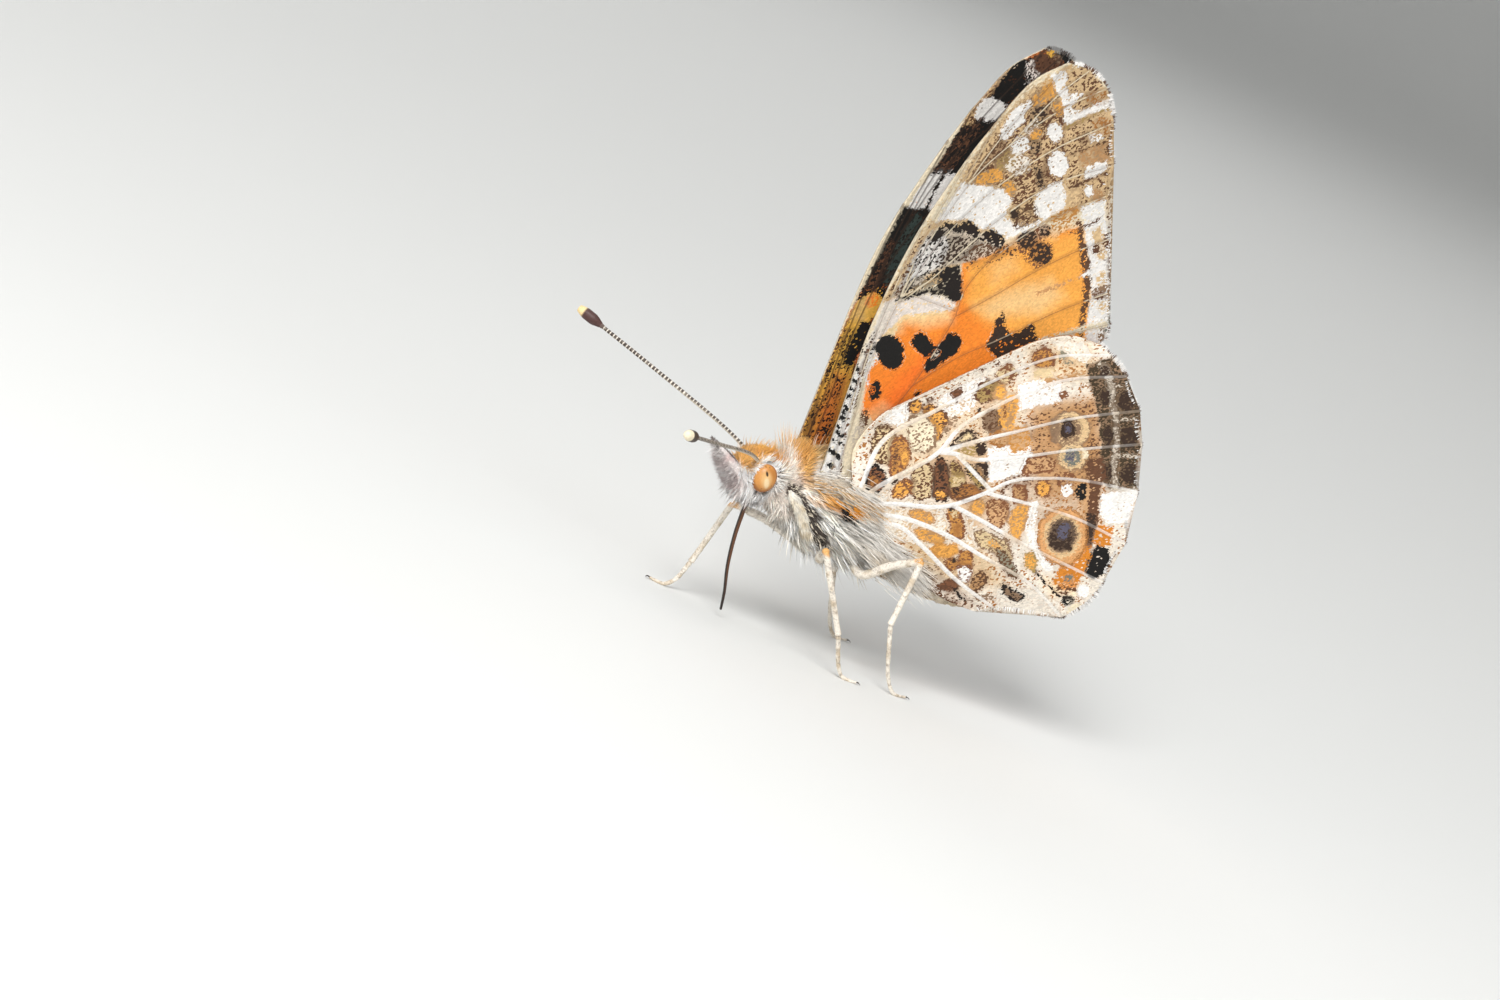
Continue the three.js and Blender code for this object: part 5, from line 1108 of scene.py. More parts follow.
FORE_UPPERSIDE = [
    ("area", "orangeup", 0.0, [(-0.12, 10.9), (-0.63, 14.66), (-1.0, 20.67), (-0.24, 28.78), (0.94, 35.99),
        (3.15, 40.51), (7.36, 40.13), (14.38, 25.52), (9.33, 23.22), (3.36, 16.13), (2.85, 12.54)]),
    ("soft", "dusk", 0.2, [(-0.12, 10.9), (-0.67, 13.96), (-0.69, 17.36), (0.12, 18.17), (1.49, 17.11),
        (2.88, 17.17), (5.86, 19.95), (7.84, 21.81), (6.34, 18.91), (3.49, 15.84), (2.5, 11.74)]),
    ("soft", "dusk", 0.3, [(2.96, 17.0), (7.84, 21.81), (12.57, 25.5), (12.99, 24.63), (8.47, 20.48),
        (3.49, 15.84)]),
    ("soft", "rose", 0.2, [(1.25, 21.44), (3.71, 23.76), (5.54, 25.16), (7.3, 24.48), (5.1, 21.57),
        (2.92, 19.37)]),
    ("spot", "jet", 0.1, [0.88, 19.8, 1.35, 1.27, 140]),
    ("area", "jet", 0.08, [(1.83, 20.65), (1.72, 21.49), (2.51, 21.93), (3.26, 21.54), (3.82, 22.17),
        (4.4, 22.6), (5.0, 22.22), (5.06, 21.35), (4.6, 20.49), (3.88, 19.6), (3.11, 19.44)]),
    ("spot", "jet", 0.15, [1.02, 17.21, 0.7, 0.45, 117]),
    ("spot", "jet", 0.15, [3.86, 17.82, 0.52, 0.44, 10]),
    ("area", "jet", 0.08, [(-0.92, 22.75), (-0.77, 25.39), (-0.68, 28.15), (0.52, 28.77), (2.99, 29.05),
        (4.71, 29.33), (5.39, 28.51), (4.21, 27.23), (3.06, 26.5), (3.98, 24.55), (2.84, 24.1),
        (1.48, 23.98), (0.37, 23.19), (-0.29, 22.55)]),
    ("area", "jet", 0.06, [(-0.31, 28.76), (0.97, 35.93), (2.57, 39.42), (5.04, 40.94), (7.7, 39.58),
        (14.32, 25.49), (12.35, 25.35), (11.72, 27.58), (10.22, 30.41), (9.2, 31.64), (8.25, 28.81),
        (7.32, 28.04), (5.75, 28.65), (4.78, 29.49), (1.35, 31.58), (0.38, 31.24)]),
    ("area", "jet", 0.08, [(6.47, 21.69), (6.22, 22.83), (6.16, 24.31), (6.42, 24.82), (7.27, 23.92),
        (8.51, 24.95), (9.33, 24.59), (9.54, 23.84), (8.16, 22.35), (7.78, 21.65)]),
    ("area", "white", 0.05, [(-0.03, 28.51), (-0.19, 29.41), (0.15, 30.21), (0.38, 31.24), (1.21, 31.4),
        (2.5, 31.57), (3.28, 31.61), (3.85, 31.29), (3.76, 30.44), (3.48, 29.52), (2.06, 29.51),
        (0.4, 28.87)]),
    ("area", "white", 0.05, [(1.52, 35.18), (1.42, 36.23), (1.89, 36.8), (2.65, 36.53), (2.68, 35.59),
        (2.09, 34.97)]),
    ("spot", "white", 0.05, [4.8, 36.2, 0.45, 0.41, 141]),
    ("spot", "white", 0.05, [5.85, 34.59, 0.63, 0.48, 121]),
    ("spot", "white", 0.05, [6.31, 32.27, 0.9, 0.83, 140]),
    ("spot", "white", 0.1, [3.72, 38.0, 0.32, 0.25, 4]),
    ("line", "sand", 0.5, [0.19, (6.28, 39.55), (7.45, 38.14), (8.48, 35.84), (9.21, 33.42), (10.95, 30.69),
        (12.45, 27.86)]),
    ("area", "orangeup", 0.1, [(8.25, 30.31), (9.11, 30.93), (9.82, 29.43), (8.85, 29.05)]),
    ("area", "goldbright", 0.0, [(-0.12, 11.36), (-0.78, 15.27), (-0.9, 18.53), (-0.86, 21.67),
        (-0.26, 22.57), (0.57, 22.16), (0.53, 19.01), (1.61, 15.43), (2.58, 12.11)]),
    ("soft", "orangeup", 0.1, [(0.58, 11.56), (-0.01, 14.26), (-0.05, 16.92), (0.75, 16.89), (1.76, 14.04),
        (2.01, 11.95)]),
    ("area", "dusk", 0.35, [(-0.12, 11.36), (-0.98, 15.21), (-1.03, 18.49), (-0.84, 21.33), (-0.55, 21.36),
        (-0.51, 18.66), (-0.39, 15.54), (0.72, 11.59)]),
    ("area", "ink", 0.7, [(0.16, 11.44), (-0.59, 15.34), (-0.62, 18.28), (-0.62, 20.92), (0.15, 20.91),
        (0.36, 18.46), (0.9, 15.8), (2.01, 11.95)]),
    ("line", "ink", 0.35, [0.14, (0.19, 15.03), (-0.11, 17.33), (-0.19, 20.09)]),
    ("line", "ink", 0.4, [0.11, (0.9, 14.95), (0.68, 16.59), (0.62, 17.99)]),
    ("area", "goldbright", 0.04, [(-0.78, 19.76), (-0.81, 21.27), (-0.53, 22.2), (0.2, 22.87), (0.71, 22.76),
        (0.81, 21.69), (0.53, 20.48), (0.0, 20.02)]),
    ("spot", "orange", 0.3, [0.05, 21.98, 0.5, 0.43, 93]),
    ("soft", "straw", 0.4, [(-0.7, 20.48), (-0.73, 21.72), (-0.34, 22.13), (-0.05, 20.7)]),
    ("area", "jet", 0.04, [(0.15, 17.55), (-0.02, 19.04), (0.07, 20.46), (0.73, 20.68), (1.07, 20.37),
        (0.91, 18.63), (0.83, 17.62)]),
    ("area", "jet", 0.05, [(-0.93, 21.51), (-0.74, 24.07), (-0.62, 28.1), (-0.13, 28.62), (1.84, 28.82),
        (1.82, 27.99), (1.6, 23.18), (1.02, 22.17), (-0.0, 22.66), (-0.47, 22.09)]),
    ("area", "dusk", 0.55, [(-0.71, 22.56), (-0.59, 24.67), (-0.49, 25.95), (-0.11, 25.8), (-0.03, 23.9),
        (-0.0, 22.66)]),
    ("area", "sheen", 0.3, [(0.46, 22.95), (-0.0, 25.01), (-0.01, 27.08), (0.4, 28.05), (0.85, 27.79),
        (0.79, 25.84), (0.99, 23.69)]),
    ("area", "white", 0.03, [(-0.43, 28.17), (-0.33, 29.44), (0.09, 30.69), (1.08, 31.45), (1.98, 31.49),
        (1.94, 29.82), (1.64, 28.62), (0.61, 28.53)]),
    ("line", "ink", 0.05, [0.17, (0.8, 28.46), (0.78, 29.97), (0.95, 31.4)]),
    ("area", "jet", 0.06, [(0.09, 30.69), (0.38, 32.78), (0.73, 34.75), (1.63, 34.79), (2.81, 35.49),
        (2.83, 33.98), (2.51, 31.67), (1.39, 31.14)]),
    ("area", "dusk", 0.65, [(0.23, 31.01), (0.61, 33.07), (1.11, 34.61), (1.75, 34.56), (1.57, 32.85),
        (1.2, 31.21)]),
    ("area", "dusk", 0.2, [(0.58, 34.15), (0.63, 35.94), (1.26, 37.53), (1.87, 38.71), (2.25, 38.57),
        (1.83, 37.33), (1.34, 35.92), (1.3, 34.54)]),
    ("area", "buff", 0.6, [(0.58, 34.15), (0.63, 35.94), (1.26, 37.53), (1.87, 38.71), (2.25, 38.57),
        (1.83, 37.33), (1.34, 35.92), (1.3, 34.54)]),
    ("area", "white", 0.02, [(1.19, 36.35), (1.68, 36.45), (1.83, 36.3), (1.79, 35.81), (1.71, 35.23),
        (1.53, 34.83), (1.21, 34.85), (1.03, 35.2), (1.02, 35.81)]),
    ("area", "white", 0.02, [(2.77, 36.43), (3.02, 36.25), (2.88, 35.79), (2.58, 35.34), (2.21, 35.0),
        (1.89, 34.89), (1.84, 35.28), (1.98, 35.88), (2.29, 36.33)]),
    ("area", "jet", 0.05, [(1.62, 36.57), (1.65, 37.67), (2.21, 39.24), (2.86, 39.47), (3.23, 38.78),
        (3.87, 38.74), (3.44, 37.22), (2.77, 36.43)]),
    ("area", "rosy", 0.3, [(3.16, 38.62), (2.92, 39.36), (3.32, 39.64), (3.62, 39.06), (4.35, 39.04),
        (4.06, 38.4), (3.53, 38.21)]),
    ("area", "dusk", 0.2, [(3.25, 39.61), (3.54, 40.53), (4.38, 40.7), (5.43, 40.07), (4.78, 39.17),
        (4.14, 38.83), (3.69, 39.09)]),
    ("area", "goldbright", 0.15, [(3.92, 40.4), (4.22, 40.71), (4.54, 40.41), (4.23, 40.1)]),
    ("spot", "taupe", 0.4, [4.79, 40.29, 0.3, 0.23, 156]),
]

HIND_UPPERSIDE = [
    ("area", "orangeup", 0.0, [(1.48, 11.64), (1.25, 16.06), (2.99, 17.86), (6.33, 21.66), (9.93, 25.28),
        (13.17, 25.86), (16.3, 23.95), (19.4, 19.2), (20.83, 13.4), (20.9, 8.81), (17.35, 7.12),
        (12.01, 6.17), (7.36, 6.88), (3.21, 8.1)]),
    ("soft", "dusk", 0.25, [(1.48, 11.64), (1.25, 16.06), (6.33, 21.66), (9.93, 25.28), (12.51, 25.74),
        (11.07, 22.82), (7.59, 19.66), (6.1, 16.86), (7.84, 14.75), (8.66, 11.58), (13.72, 8.58),
        (17.05, 7.72), (12.01, 6.17), (7.36, 6.88), (3.21, 8.1)]),
    ("area", "umber", 0.5, [(6.42, 17.68), (8.71, 20.3), (10.3, 20.57), (10.6, 17.91), (11.6, 14.1),
        (14.19, 10.88), (12.85, 10.37), (10.21, 13.57), (7.87, 16.16)]),
    ("spot", "jet", 0.05, [12.06, 21.54, 0.5, 0.44, 139]),
    ("spot", "jet", 0.05, [13.37, 19.61, 0.66, 0.58, 133]),
    ("spot", "jet", 0.05, [14.34, 17.95, 0.6, 0.54, 142]),
    ("spot", "jet", 0.05, [15.72, 16.03, 0.47, 0.39, 129]),
    ("spot", "jet", 0.05, [16.09, 13.36, 0.8, 0.68, 130]),
    ("spot", "jet", 0.05, [17.05, 10.69, 0.47, 0.39, 6]),
    ("spot", "jet", 0.1, [13.59, 22.97, 0.63, 0.47, 100]),
    ("spot", "jet", 0.1, [15.06, 21.03, 0.71, 0.43, 114]),
    ("spot", "jet", 0.1, [16.14, 19.0, 0.66, 0.42, 120]),
    ("spot", "jet", 0.1, [17.04, 16.89, 0.67, 0.42, 125]),
    ("spot", "jet", 0.1, [17.91, 14.55, 0.68, 0.45, 134]),
    ("spot", "jet", 0.1, [18.42, 12.06, 0.62, 0.51, 146]),
    ("spot", "jet", 0.1, [14.29, 24.49, 0.54, 0.5, 160]),
    ("spot", "jet", 0.1, [16.06, 22.68, 0.57, 0.47, 104]),
    ("spot", "jet", 0.1, [17.17, 20.59, 0.59, 0.39, 121]),
    ("spot", "jet", 0.1, [18.29, 18.64, 0.53, 0.39, 123]),
    ("spot", "jet", 0.1, [18.74, 16.42, 0.54, 0.45, 131]),
    ("spot", "jet", 0.1, [19.43, 14.0, 0.54, 0.45, 131]),
    ("spot", "jet", 0.1, [19.76, 11.72, 0.49, 0.44, 156]),
    ("spot", "bluegrey", 0.3, [18.92, 9.56, 0.53, 0.27, 19]),
]


# The brightest colour, so that no part of a wing burns out
BRIGHTEST = 0.96


def wing_layers(plan, marks, seed, vein_of, light):
    """The colour layers of one face of a wing. light makes them all brighter or darker."""
    p, vein = plan["points"], plan["vein"]
    tint, fleck, share = paint(p, marks, seed)
    rib, half, beside = vein_of(p, mix(tint, fleck, share), plan["side"])
    # Painted shadow: a dark line along one side of each vein
    shadow = beside * np.exp(-((vein - 0.1) / 0.06) ** 2)
    mottle = light * (1 + 0.05 * layered(p, 0.6, seed + 90, 3))[:, None]
    weave = np.column_stack([share, np.clip(vein / half / VEIN_REACH, 0, 1), 0 * vein])
    tint, fleck = mix(tint, tint * 0.3, shadow) * mottle, mix(fleck, fleck * 0.4, shadow) * mottle
    return {"tint": np.minimum(tint, BRIGHTEST), "fleck": np.minimum(fleck, BRIGHTEST), "weave": weave,
            "rib": np.minimum(rib * light, BRIGHTEST)}


def forewing_vein(p, ground, side):
    """Veins of the forewing's underside: brown over orange, cream over brown, a thin dusky line elsewhere.
    This one and the next two return the veins' colour, their half width, and the strength of the shade beside
    them."""
    light = ground.mean(1)
    warm = smooth(ground[:, 0] / np.maximum(ground[:, 2], 0.01), 3.0, 4.5) * smooth(light, 0.15, 0.25)
    rib = mix(ground, PALETTE["cream"], 0.85 * smooth(light, 0.02, 0.08))
    rib = mix(rib, mix(ground, PALETTE["dusk"], 0.4), smooth(light, 0.3, 0.45))
    rib = mix(rib, mix(ground, PALETTE["brown"], 0.55), warm)
    half = 0.036 + 0.03 * np.exp(-np.maximum(p[:, 1] - 11, 0) / 5)
    return rib, half, 0.55 * (side > 0) * smooth(light, 0.1, 0.3)


def hindwing_vein(p, ground, side):
    """Veins of the hindwing's underside: broad and pale, narrower and duller towards the margin."""
    reach = np.hypot(p[:, 0] - 3.0, p[:, 1] - 10.3)
    wide = 0.145 - 0.055 * smooth(reach, 5, 14)
    sandy = 0.5 * smooth(noise(p, 1.6, 41), 0.1, 0.5)
    pale = mix(np.broadcast_to(PALETTE["white"], ground.shape), PALETTE["sand"], sandy)
    blend = 0.05 + 0.45 * smooth(reach, 8.0, 12.5) + 0.35 * smooth(0.12 - ground.mean(1), -0.02, 0.04)
    return mix(pale, ground, blend), wide, 0.35 * (side > 0)


def upper_vein(p, ground, side):
    """Veins of the upper faces: thin and brown."""
    return mix(ground, PALETTE["sepia"], np.full(len(p), 0.6)), np.full(len(p), 0.06), 0 * side


# Hair: how deep its roots lie, its width at each ring, and the side of its patch in the baked texture
ROOT_DEPTH = 0.06
TAPER = (1, 0.85, 0.55)
PATCH = 0.003


def hair_piece(name, roots, normals, lies, lengths, widths, root_tint, tip_tint, uv, slot, lift, rings=3,
               flat=0.5, light=0.9):
    """Hairs in one piece, each a tapered blade of three sides that bends from its root towards its lie. lift is
    how far it rises from the skin first, rings its number of sections and flat its thickness as a share of its
    width. Fur lets light through, so its sides and underside are brighter than a solid's: light turns its
    shading upwards."""
    n = len(roots)
    normals, lies = unit(normals), unit(lies)
    shading = unit(normals + (0, 0, light))
    s = np.linspace(0, 1, rings + 1)
    path = [roots - normals * ROOT_DEPTH]
    for k in range(rings):
        step = unit(lies + normals * (lift * (1 - s[k]) + 0.05))
        path.append(path[-1] + step * (lengths / rings)[:, None])
    count = rings * 3 + 1
    points, colours, facing = (np.empty((n, count, 3)) for _ in range(3))
    across = unit(np.cross(lies, normals))
    for k in range(rings):
        forward = unit(path[k + 1] - path[k])
        up = np.cross(across, forward)
        width = (widths * TAPER[k])[:, None]
        for j in range(3):
            turn = 2 * math.pi * j / 3
            aside = across * math.cos(turn) + up * flat * math.sin(turn)
            points[:, k * 3 + j] = path[k] + aside * width / 2
            facing[:, k * 3 + j] = shading + 0.6 * aside
            colours[:, k * 3 + j] = mix(root_tint, tip_tint, np.full(n, s[k]))
    points[:, -1] = path[rings]
    colours[:, -1] = tip_tint
    facing[:, -1] = shading
    one = [(0, 2, 1)]
    for k in range(rings - 1):
        for j in range(3):
            a, b = k * 3 + j, k * 3 + (j + 1) % 3
            one += [(a, b, a + 3), (b, b + 3, a + 3)]
    last = (rings - 1) * 3
    one += [(last + j, last + (j + 1) % 3, last + 3) for j in range(3)]
    one = np.array(one)[:, ::-1]
    faces = (one[None] + (np.arange(n) * count)[:, None, None]).reshape(-1, 3)
    local = np.array([[(k % 3) / 2, k / count] for k in range(count)]) * PATCH
    patch = (np.asarray(uv)[:, None, :] * (1 - 2 * PATCH) + PATCH * 0.5 + local[None]).reshape(-1, 2)
    make_piece(name, points.reshape(-1, 3), faces, colours.reshape(-1, 3), HAIR, slot, (), patch=patch,
               normals=unit(facing.reshape(-1, 3)))


def hair_pair(name, roots, normals, lies, *rest, **options):
    """The same hairs on the left side and, mirrored, on the right."""
    for side, flip in SIDES:
        sign = np.array([1, flip, 1])
        hair_piece(f"{name}_{side}", roots * sign, normals * sign, lies * sign, *rest, **options)


def scatter(grid, count, weight=None):
    """Roots spread over a grid of points [rows, columns, 3] that closes across its columns. weight(point,
    normal) gives the share of roots kept there. Returns points, normals, the lie from row to row, and the place
    in the grid."""
    rows, columns = grid.shape[:2]
    right = np.roll(grid, -1, axis=1)
    a, b, c, d = grid[:-1], right[:-1], right[1:], grid[1:]
    area = np.linalg.norm(np.cross(c - a, d - b), axis=2).ravel() / 2
    pick = RANDOM.choice(len(area), size=count, p=area / area.sum())
    u, v = RANDOM.random(count), RANDOM.random(count)
    a, b, c, d = (q.reshape(-1, 3)[pick] for q in (a, b, c, d))
    u2, v2 = u[:, None], v[:, None]
    point = (a * (1 - u2) + b * u2) * (1 - v2) + (d * (1 - u2) + c * u2) * v2
    normal = unit(np.cross(b - a, d - a) + np.cross(c - b, c - d))
    lie = unit((d + c) - (a + b))
    uv = np.column_stack([(pick % columns + u) / columns, (pick // columns + v) / (rows - 1)])
    keep = np.ones(count, bool) if weight is None else RANDOM.random(count) < weight(point, normal)
    return point[keep], normal[keep], lie[keep], uv[keep]


def scatter_round(line, rings, count):
    """Roots spread over a tube, with normals that point straight away from its middle line."""
    p, _, lie, uv = scatter(rings, count)
    centre = line[np.argmin(np.linalg.norm(p[:, None] - line[None], axis=2), axis=1)]
    return p, unit(p - centre), lie, uv


# Body: head, thorax and abdomen in one skin. [x, height of the centre, half width, half height]
TRUNK = [
    [-4.84, 9.42, 0.10, 0.12], [-4.7, 9.45, 0.46, 0.56], [-4.4, 9.5, 0.83, 0.98], [-3.95, 9.5, 1.03, 1.26],
    [-3.3, 9.52, 1.14, 1.4], [-2.7, 9.55, 1.16, 1.4], [-2.1, 9.55, 1.03, 1.3], [-1.8, 9.56, 0.96, 1.17],
    [-1.5, 9.6, 1.08, 1.35], [-1.1, 9.63, 1.48, 1.82], [-0.35, 9.6, 1.83, 2.33], [0.9, 9.45, 2.18, 2.88],
    [2.4, 9.15, 2.28, 3.03], [3.9, 8.75, 2.13, 2.73], [5.1, 8.3, 1.78, 2.18], [5.9, 7.98, 1.5, 1.76],
    [6.4, 7.82, 1.4, 1.55], [7.4, 7.72, 1.58, 1.68], [9.0, 7.6, 1.7, 1.8], [11.0, 7.3, 1.6, 1.7],
    [13.0, 6.92, 1.26, 1.34], [14.6, 6.62, 0.76, 0.82], [15.5, 6.47, 0.38, 0.42], [15.78, 6.45, 0.1, 0.12],
]
EYE_CENTRE = np.array([-3.05, -1.06, 9.58])
EYE_HALF = np.array([0.8, 0.56, 0.92])
# Painted shade in the hollow behind each foreleg, as a line of [x, z]
SHADED_HOLLOW = np.array([[-1.1, 9.6], [-0.2, 8.95], [0.6, 8.5], [1.4, 7.7], [2.5, 6.9]])


def trunk_grid():
    """Rings of points along the body, [rows, columns, 3], drawn in a little between the abdomen's segments."""
    rows, columns = 260, 84
    table = np.array(TRUNK)
    t = np.concatenate([[0], np.cumsum(np.hypot(np.diff(table[:, 0]), 0.6 * np.diff(table[:, 3])))])
    s = spline(np.column_stack([t, table]), np.linspace(0, t[-1], rows))
    s[:, 2:] = np.maximum(s[:, 2:], 0.05)
    ring = 1 - 0.035 * np.where(s[:, 0] > 6.2, segment_edge(s[:, 0]) ** 6, 0)
    angle = circle(columns)
    grid = np.empty((rows, columns, 3))
    grid[..., 0] = s[:, :1]
    grid[..., 1] = (s[:, 2] * ring)[:, None] * np.cos(angle)
    grid[..., 2] = s[:, 1:2] + (s[:, 3] * ring)[:, None] * np.sin(angle)
    return grid


def segment_edge(x):
    """1 at the edges between the abdomen's eight segments, 0 in their middles."""
    return np.abs(np.cos((x - 6.2) / 9.6 * 8 * np.pi))


# Streaks are drawn out along x by this
STREAK = (0.45, 1, 1)


def tone(points, *codes):
    """One colour for every point, or several blended by streaks along the body."""
    colour = np.broadcast_to(linear(codes[0]), points.shape)
    for k, code in enumerate(codes[1:]):
        streak = layered(points * STREAK, 0.5, 400 + 7 * k, 3)
        colour = mix(colour, linear(code), smooth(streak, -0.1, 0.5))
    return colour


def body_tint(p, up):
    """The body's colours: golden crown, collar and back, white cheeks and flanks, ringed abdomen; painted shade
    behind each foreleg.
    """
    x, z = p[:, 0], p[:, 2]
    streak = layered(p * STREAK, 0.5, 430, 3)
    head = mix(tone(p, "#fdf7f3", "#f0e2dc"), tone(p, "#f2b255", "#d8944a"),
               smooth(up + 0.25 * streak, 0.15, 0.5))
    head = mix(head, tone(p, "#e0a75c", "#c08a4e"), smooth(-x, 3.9, 4.4) * smooth(z, 9.6, 9.95))
    head = mix(head, linear("#fdf9f4"), smooth(1.4 - eye_distance(p), 0.0, 0.2))
    collar = mix(tone(p, "#ecb465", "#d0934a"), tone(p, "#fdf3e8", "#e2d3c6", "#fdf6ee"),
                 smooth(z - 10.3 + 0.9 * (x + 0.9), 0.4, -0.4) * 0.9)
    thorax = mix(tone(p, "#fdf9f2", "#eadfce", "#f8efe2"), tone(p, "#d9b47c", "#b8935f"),
                 smooth(up + 0.25 * streak, 0.4, 0.85))
    shoulder = smooth(1.15 - np.hypot(x - 0.3, z - 10.2), 0.0, 0.7)
    band = 0.7 * smooth(0.8 - np.abs(z - 10.1 + 0.25 * streak), 0.0, 0.6)
    band = band * smooth(x, 0.2, 1.0) * smooth(-x, -4.5, -2.5)
    golden = np.clip(shoulder + band, 0, 1) * smooth(streak, -0.4, 0.3)
    thorax = mix(thorax, tone(p, "#e2a75c", "#cf8636"), golden)
    colour = mix(head, collar, smooth(x, -2.5, -1.9))
    colour = mix(colour, thorax, smooth(x, -0.9, -0.1))
    belly = mix(tone(p, "#a8875e", "#7a5c40"), linear("#dcc498"), segment_edge(x) ** 4 * 0.7)
    belly = mix(belly, tone(p, "#dcc8a8", "#a98a68", "#e6d8c2"), smooth(-up + 0.15 * streak, -0.25, 0.35))
    colour = mix(colour, belly, smooth(x, 5.4, 6.6))
    # Painted shade: the skin and fur darken in the hollow behind each foreleg
    return mix(colour, linear("#33241a"), smooth(0.45 - shaded_hollow_distance(p), 0, 0.2) * 0.95)


def shaded_hollow_distance(p):
    """How far each point lies from the hollow where shade is painted, unevenly."""
    return near_line(p[:, [0, 2]], SHADED_HOLLOW)[0] + 0.2 * noise(p, 0.4, 66)


def from_left_eye(p):
    """The way from the left eye's centre to each point, with the right side's points mirrored to the left."""
    return np.column_stack([p[:, 0], -np.abs(p[:, 1]), p[:, 2]]) - EYE_CENTRE


def eye_distance(p):
    """1 on the surface of either eye, less inside, more outside."""
    return np.linalg.norm(from_left_eye(p) / EYE_HALF, axis=1)


# The wings are made once for the left side and mirrored for the right
def forewing_offset(x, z):
    """The forewing lies a little outside its middle surface, so that it clears the hindwing."""
    return 0.12 + 0 * x


def hindwing_offset(x, z):
    """The hindwing lies inside the forewing, most of all along the edge that the forewing covers."""
    return -0.12 - 0.35 * np.exp(-((z - (13.4 + (x - 1.1) * 1.1)) / 2.0) ** 2)


# Per wing: its veins, steps, bulges and cross veins, the two parts of its distance from the middle plane, the
# depth of its folds, the marks of both faces, the veins' look below, the material, a seed, and the underside's
# light
WINGS = {
    "forewing": (FOREWING, FOREWING_STEPS, FOREWING_BULGES, FOREWING_CROSS, forewing_lateral, forewing_offset,
                 0.06, FORE_UNDERSIDE, FORE_UPPERSIDE, forewing_vein, FORE_SCALES, 11, 0.78),
    "hindwing": (HINDWING, HINDWING_STEPS, HINDWING_BULGES, HINDWING_CROSS, hindwing_lateral, hindwing_offset,
                 0.08, HIND_UNDERSIDE, HIND_UPPERSIDE, hindwing_vein, HIND_SCALES, 23, 0.98),
}
UPPER_LIGHT = 0.89


def build_wings():
    """The skins of the four wings. Returns each pair's plan."""
    plans = {}
    for name, wing in WINGS.items():
        veins, steps, bulges, cross, lateral, offset, folds, under, upper, vein_of, material, seed, light = wing
        plan = wing_plan(veins, steps, bulges, cross)
        points, faces = wing_skin(plan, lateral, offset, folds)
        below = wing_layers(plan, under, seed, vein_of, light)
        above = wing_layers(plan, upper, seed + 300, upper_vein, UPPER_LIGHT)
        layers = {key: np.vstack([below[key], above[key]]) for key in below}
        for side, flip in SIDES:
            make_piece(f"{name}_skin_{side}", *on_side(points, faces, flip), layers, material, name,
                       [f"{name}_{side}"])
        plans[name] = plan
    return plans


# Hairs per mm of the wings' fringes, and per wing the share of dark ones at the veins, from what distance to
# what distance it fades, and the share between the veins
FRINGE_PER_MM = 62
FRINGES = {"forewing": (0.8, 0.6, 0.3, 0.05), "hindwing": (0.6, 0.45, 0.2, 0.06)}


def build_fringe(name, plan):
    """The fringe of scale hairs along a wing's outer margin, white with a dark tuft at each vein."""
    lateral, offset = WINGS[name][4:6]
    share, far, close, rest = FRINGES[name]
    margin = resample(plan["margin"], 0.02)
    length = np.hypot(*np.diff(margin, axis=0).T).sum()
    n = int(length * FRINGE_PER_MM)
    at = np.sort(RANDOM.random(n)) * (len(margin) - 1)
    k = np.clip(at.astype(int), 0, len(margin) - 2)
    f = (at - k)[:, None]
    p = margin[k] * (1 - f) + margin[k + 1] * f
    wide = 12
    a, b = margin[np.clip(k - wide, 0, None)], margin[np.clip(k + wide, None, len(margin) - 1)]
    along_it = unit(b - a)
    out = np.column_stack([-along_it[:, 1], along_it[:, 0]])
    centre = plan["points"].mean(0)
    out *= np.sign((out * (p - centre)).sum(1))[:, None]
    ends = np.array([line[-1] for line in plan["lines"] if len(line) > 12])
    near = np.min(np.hypot(p[:, None, 0] - ends[None, :, 0], p[:, None, 1] - ends[None, :, 1]), axis=1)
    y = -(lateral(p[:, 0], p[:, 1]) + offset(p[:, 0], p[:, 1]))
    jitter = RANDOM.standard_normal((n, 3)) * (0.02, 0.05, 0.02)
    roots = np.column_stack([p[:, 0] - out[:, 0] * 0.1, y, p[:, 1] - out[:, 1] * 0.1]) + jitter
    lie = np.column_stack([out[:, 0], 0.10 * RANDOM.standard_normal(n), out[:, 1]])
    lie += 0.1 * RANDOM.standard_normal((n, 3)) * (1, 0.3, 1)
    face = np.tile([0.0, -1.0, 0.0], (n, 1))
    lengths = (0.30 + 0.14 * RANDOM.random(n)) * (1 - 0.25 * smooth(near, 0.5, 0.0))
    dark = share * smooth(near, far, close) + rest > RANDOM.random(n)
    tip = np.where(dark[:, None], PALETTE["umber"], PALETTE["white"])
    tip = tip * (1 + 0.08 * RANDOM.standard_normal(n))[:, None]
    uv = np.column_stack([at / len(margin), np.full(n, 0.5)])
    hair_pair(f"{name}_fringe", roots, face, lie, lengths, np.full(n, 0.07), tip * 0.85, tip, uv, name,
              lift=0.0, rings=2)


def rising(n, top, side, below):
    """A direction or a length for each normal, blended from its values on top, at the side and underneath."""
    top, side, below = (np.asarray(v, float) for v in (top, side, below))
    up, down = smooth(n[:, 2], 0.1, 0.6), smooth(-n[:, 2], 0.1, 0.7)
    if top.ndim:
        up, down = up[:, None], down[:, None]
    return side * (1 - up - down) + top * up + below * down


# Small tufts that stand on the thorax's fur: name, place [x, z], radius, count, height over the skin, colour
SIDE_TUFTS = [("orange", (3.0, 9.75), 0.36, 300, 1.0, "#e8952e"),
              ("black", (2.45, 9.55), 0.32, 300, 0.8, "#1d130d")]
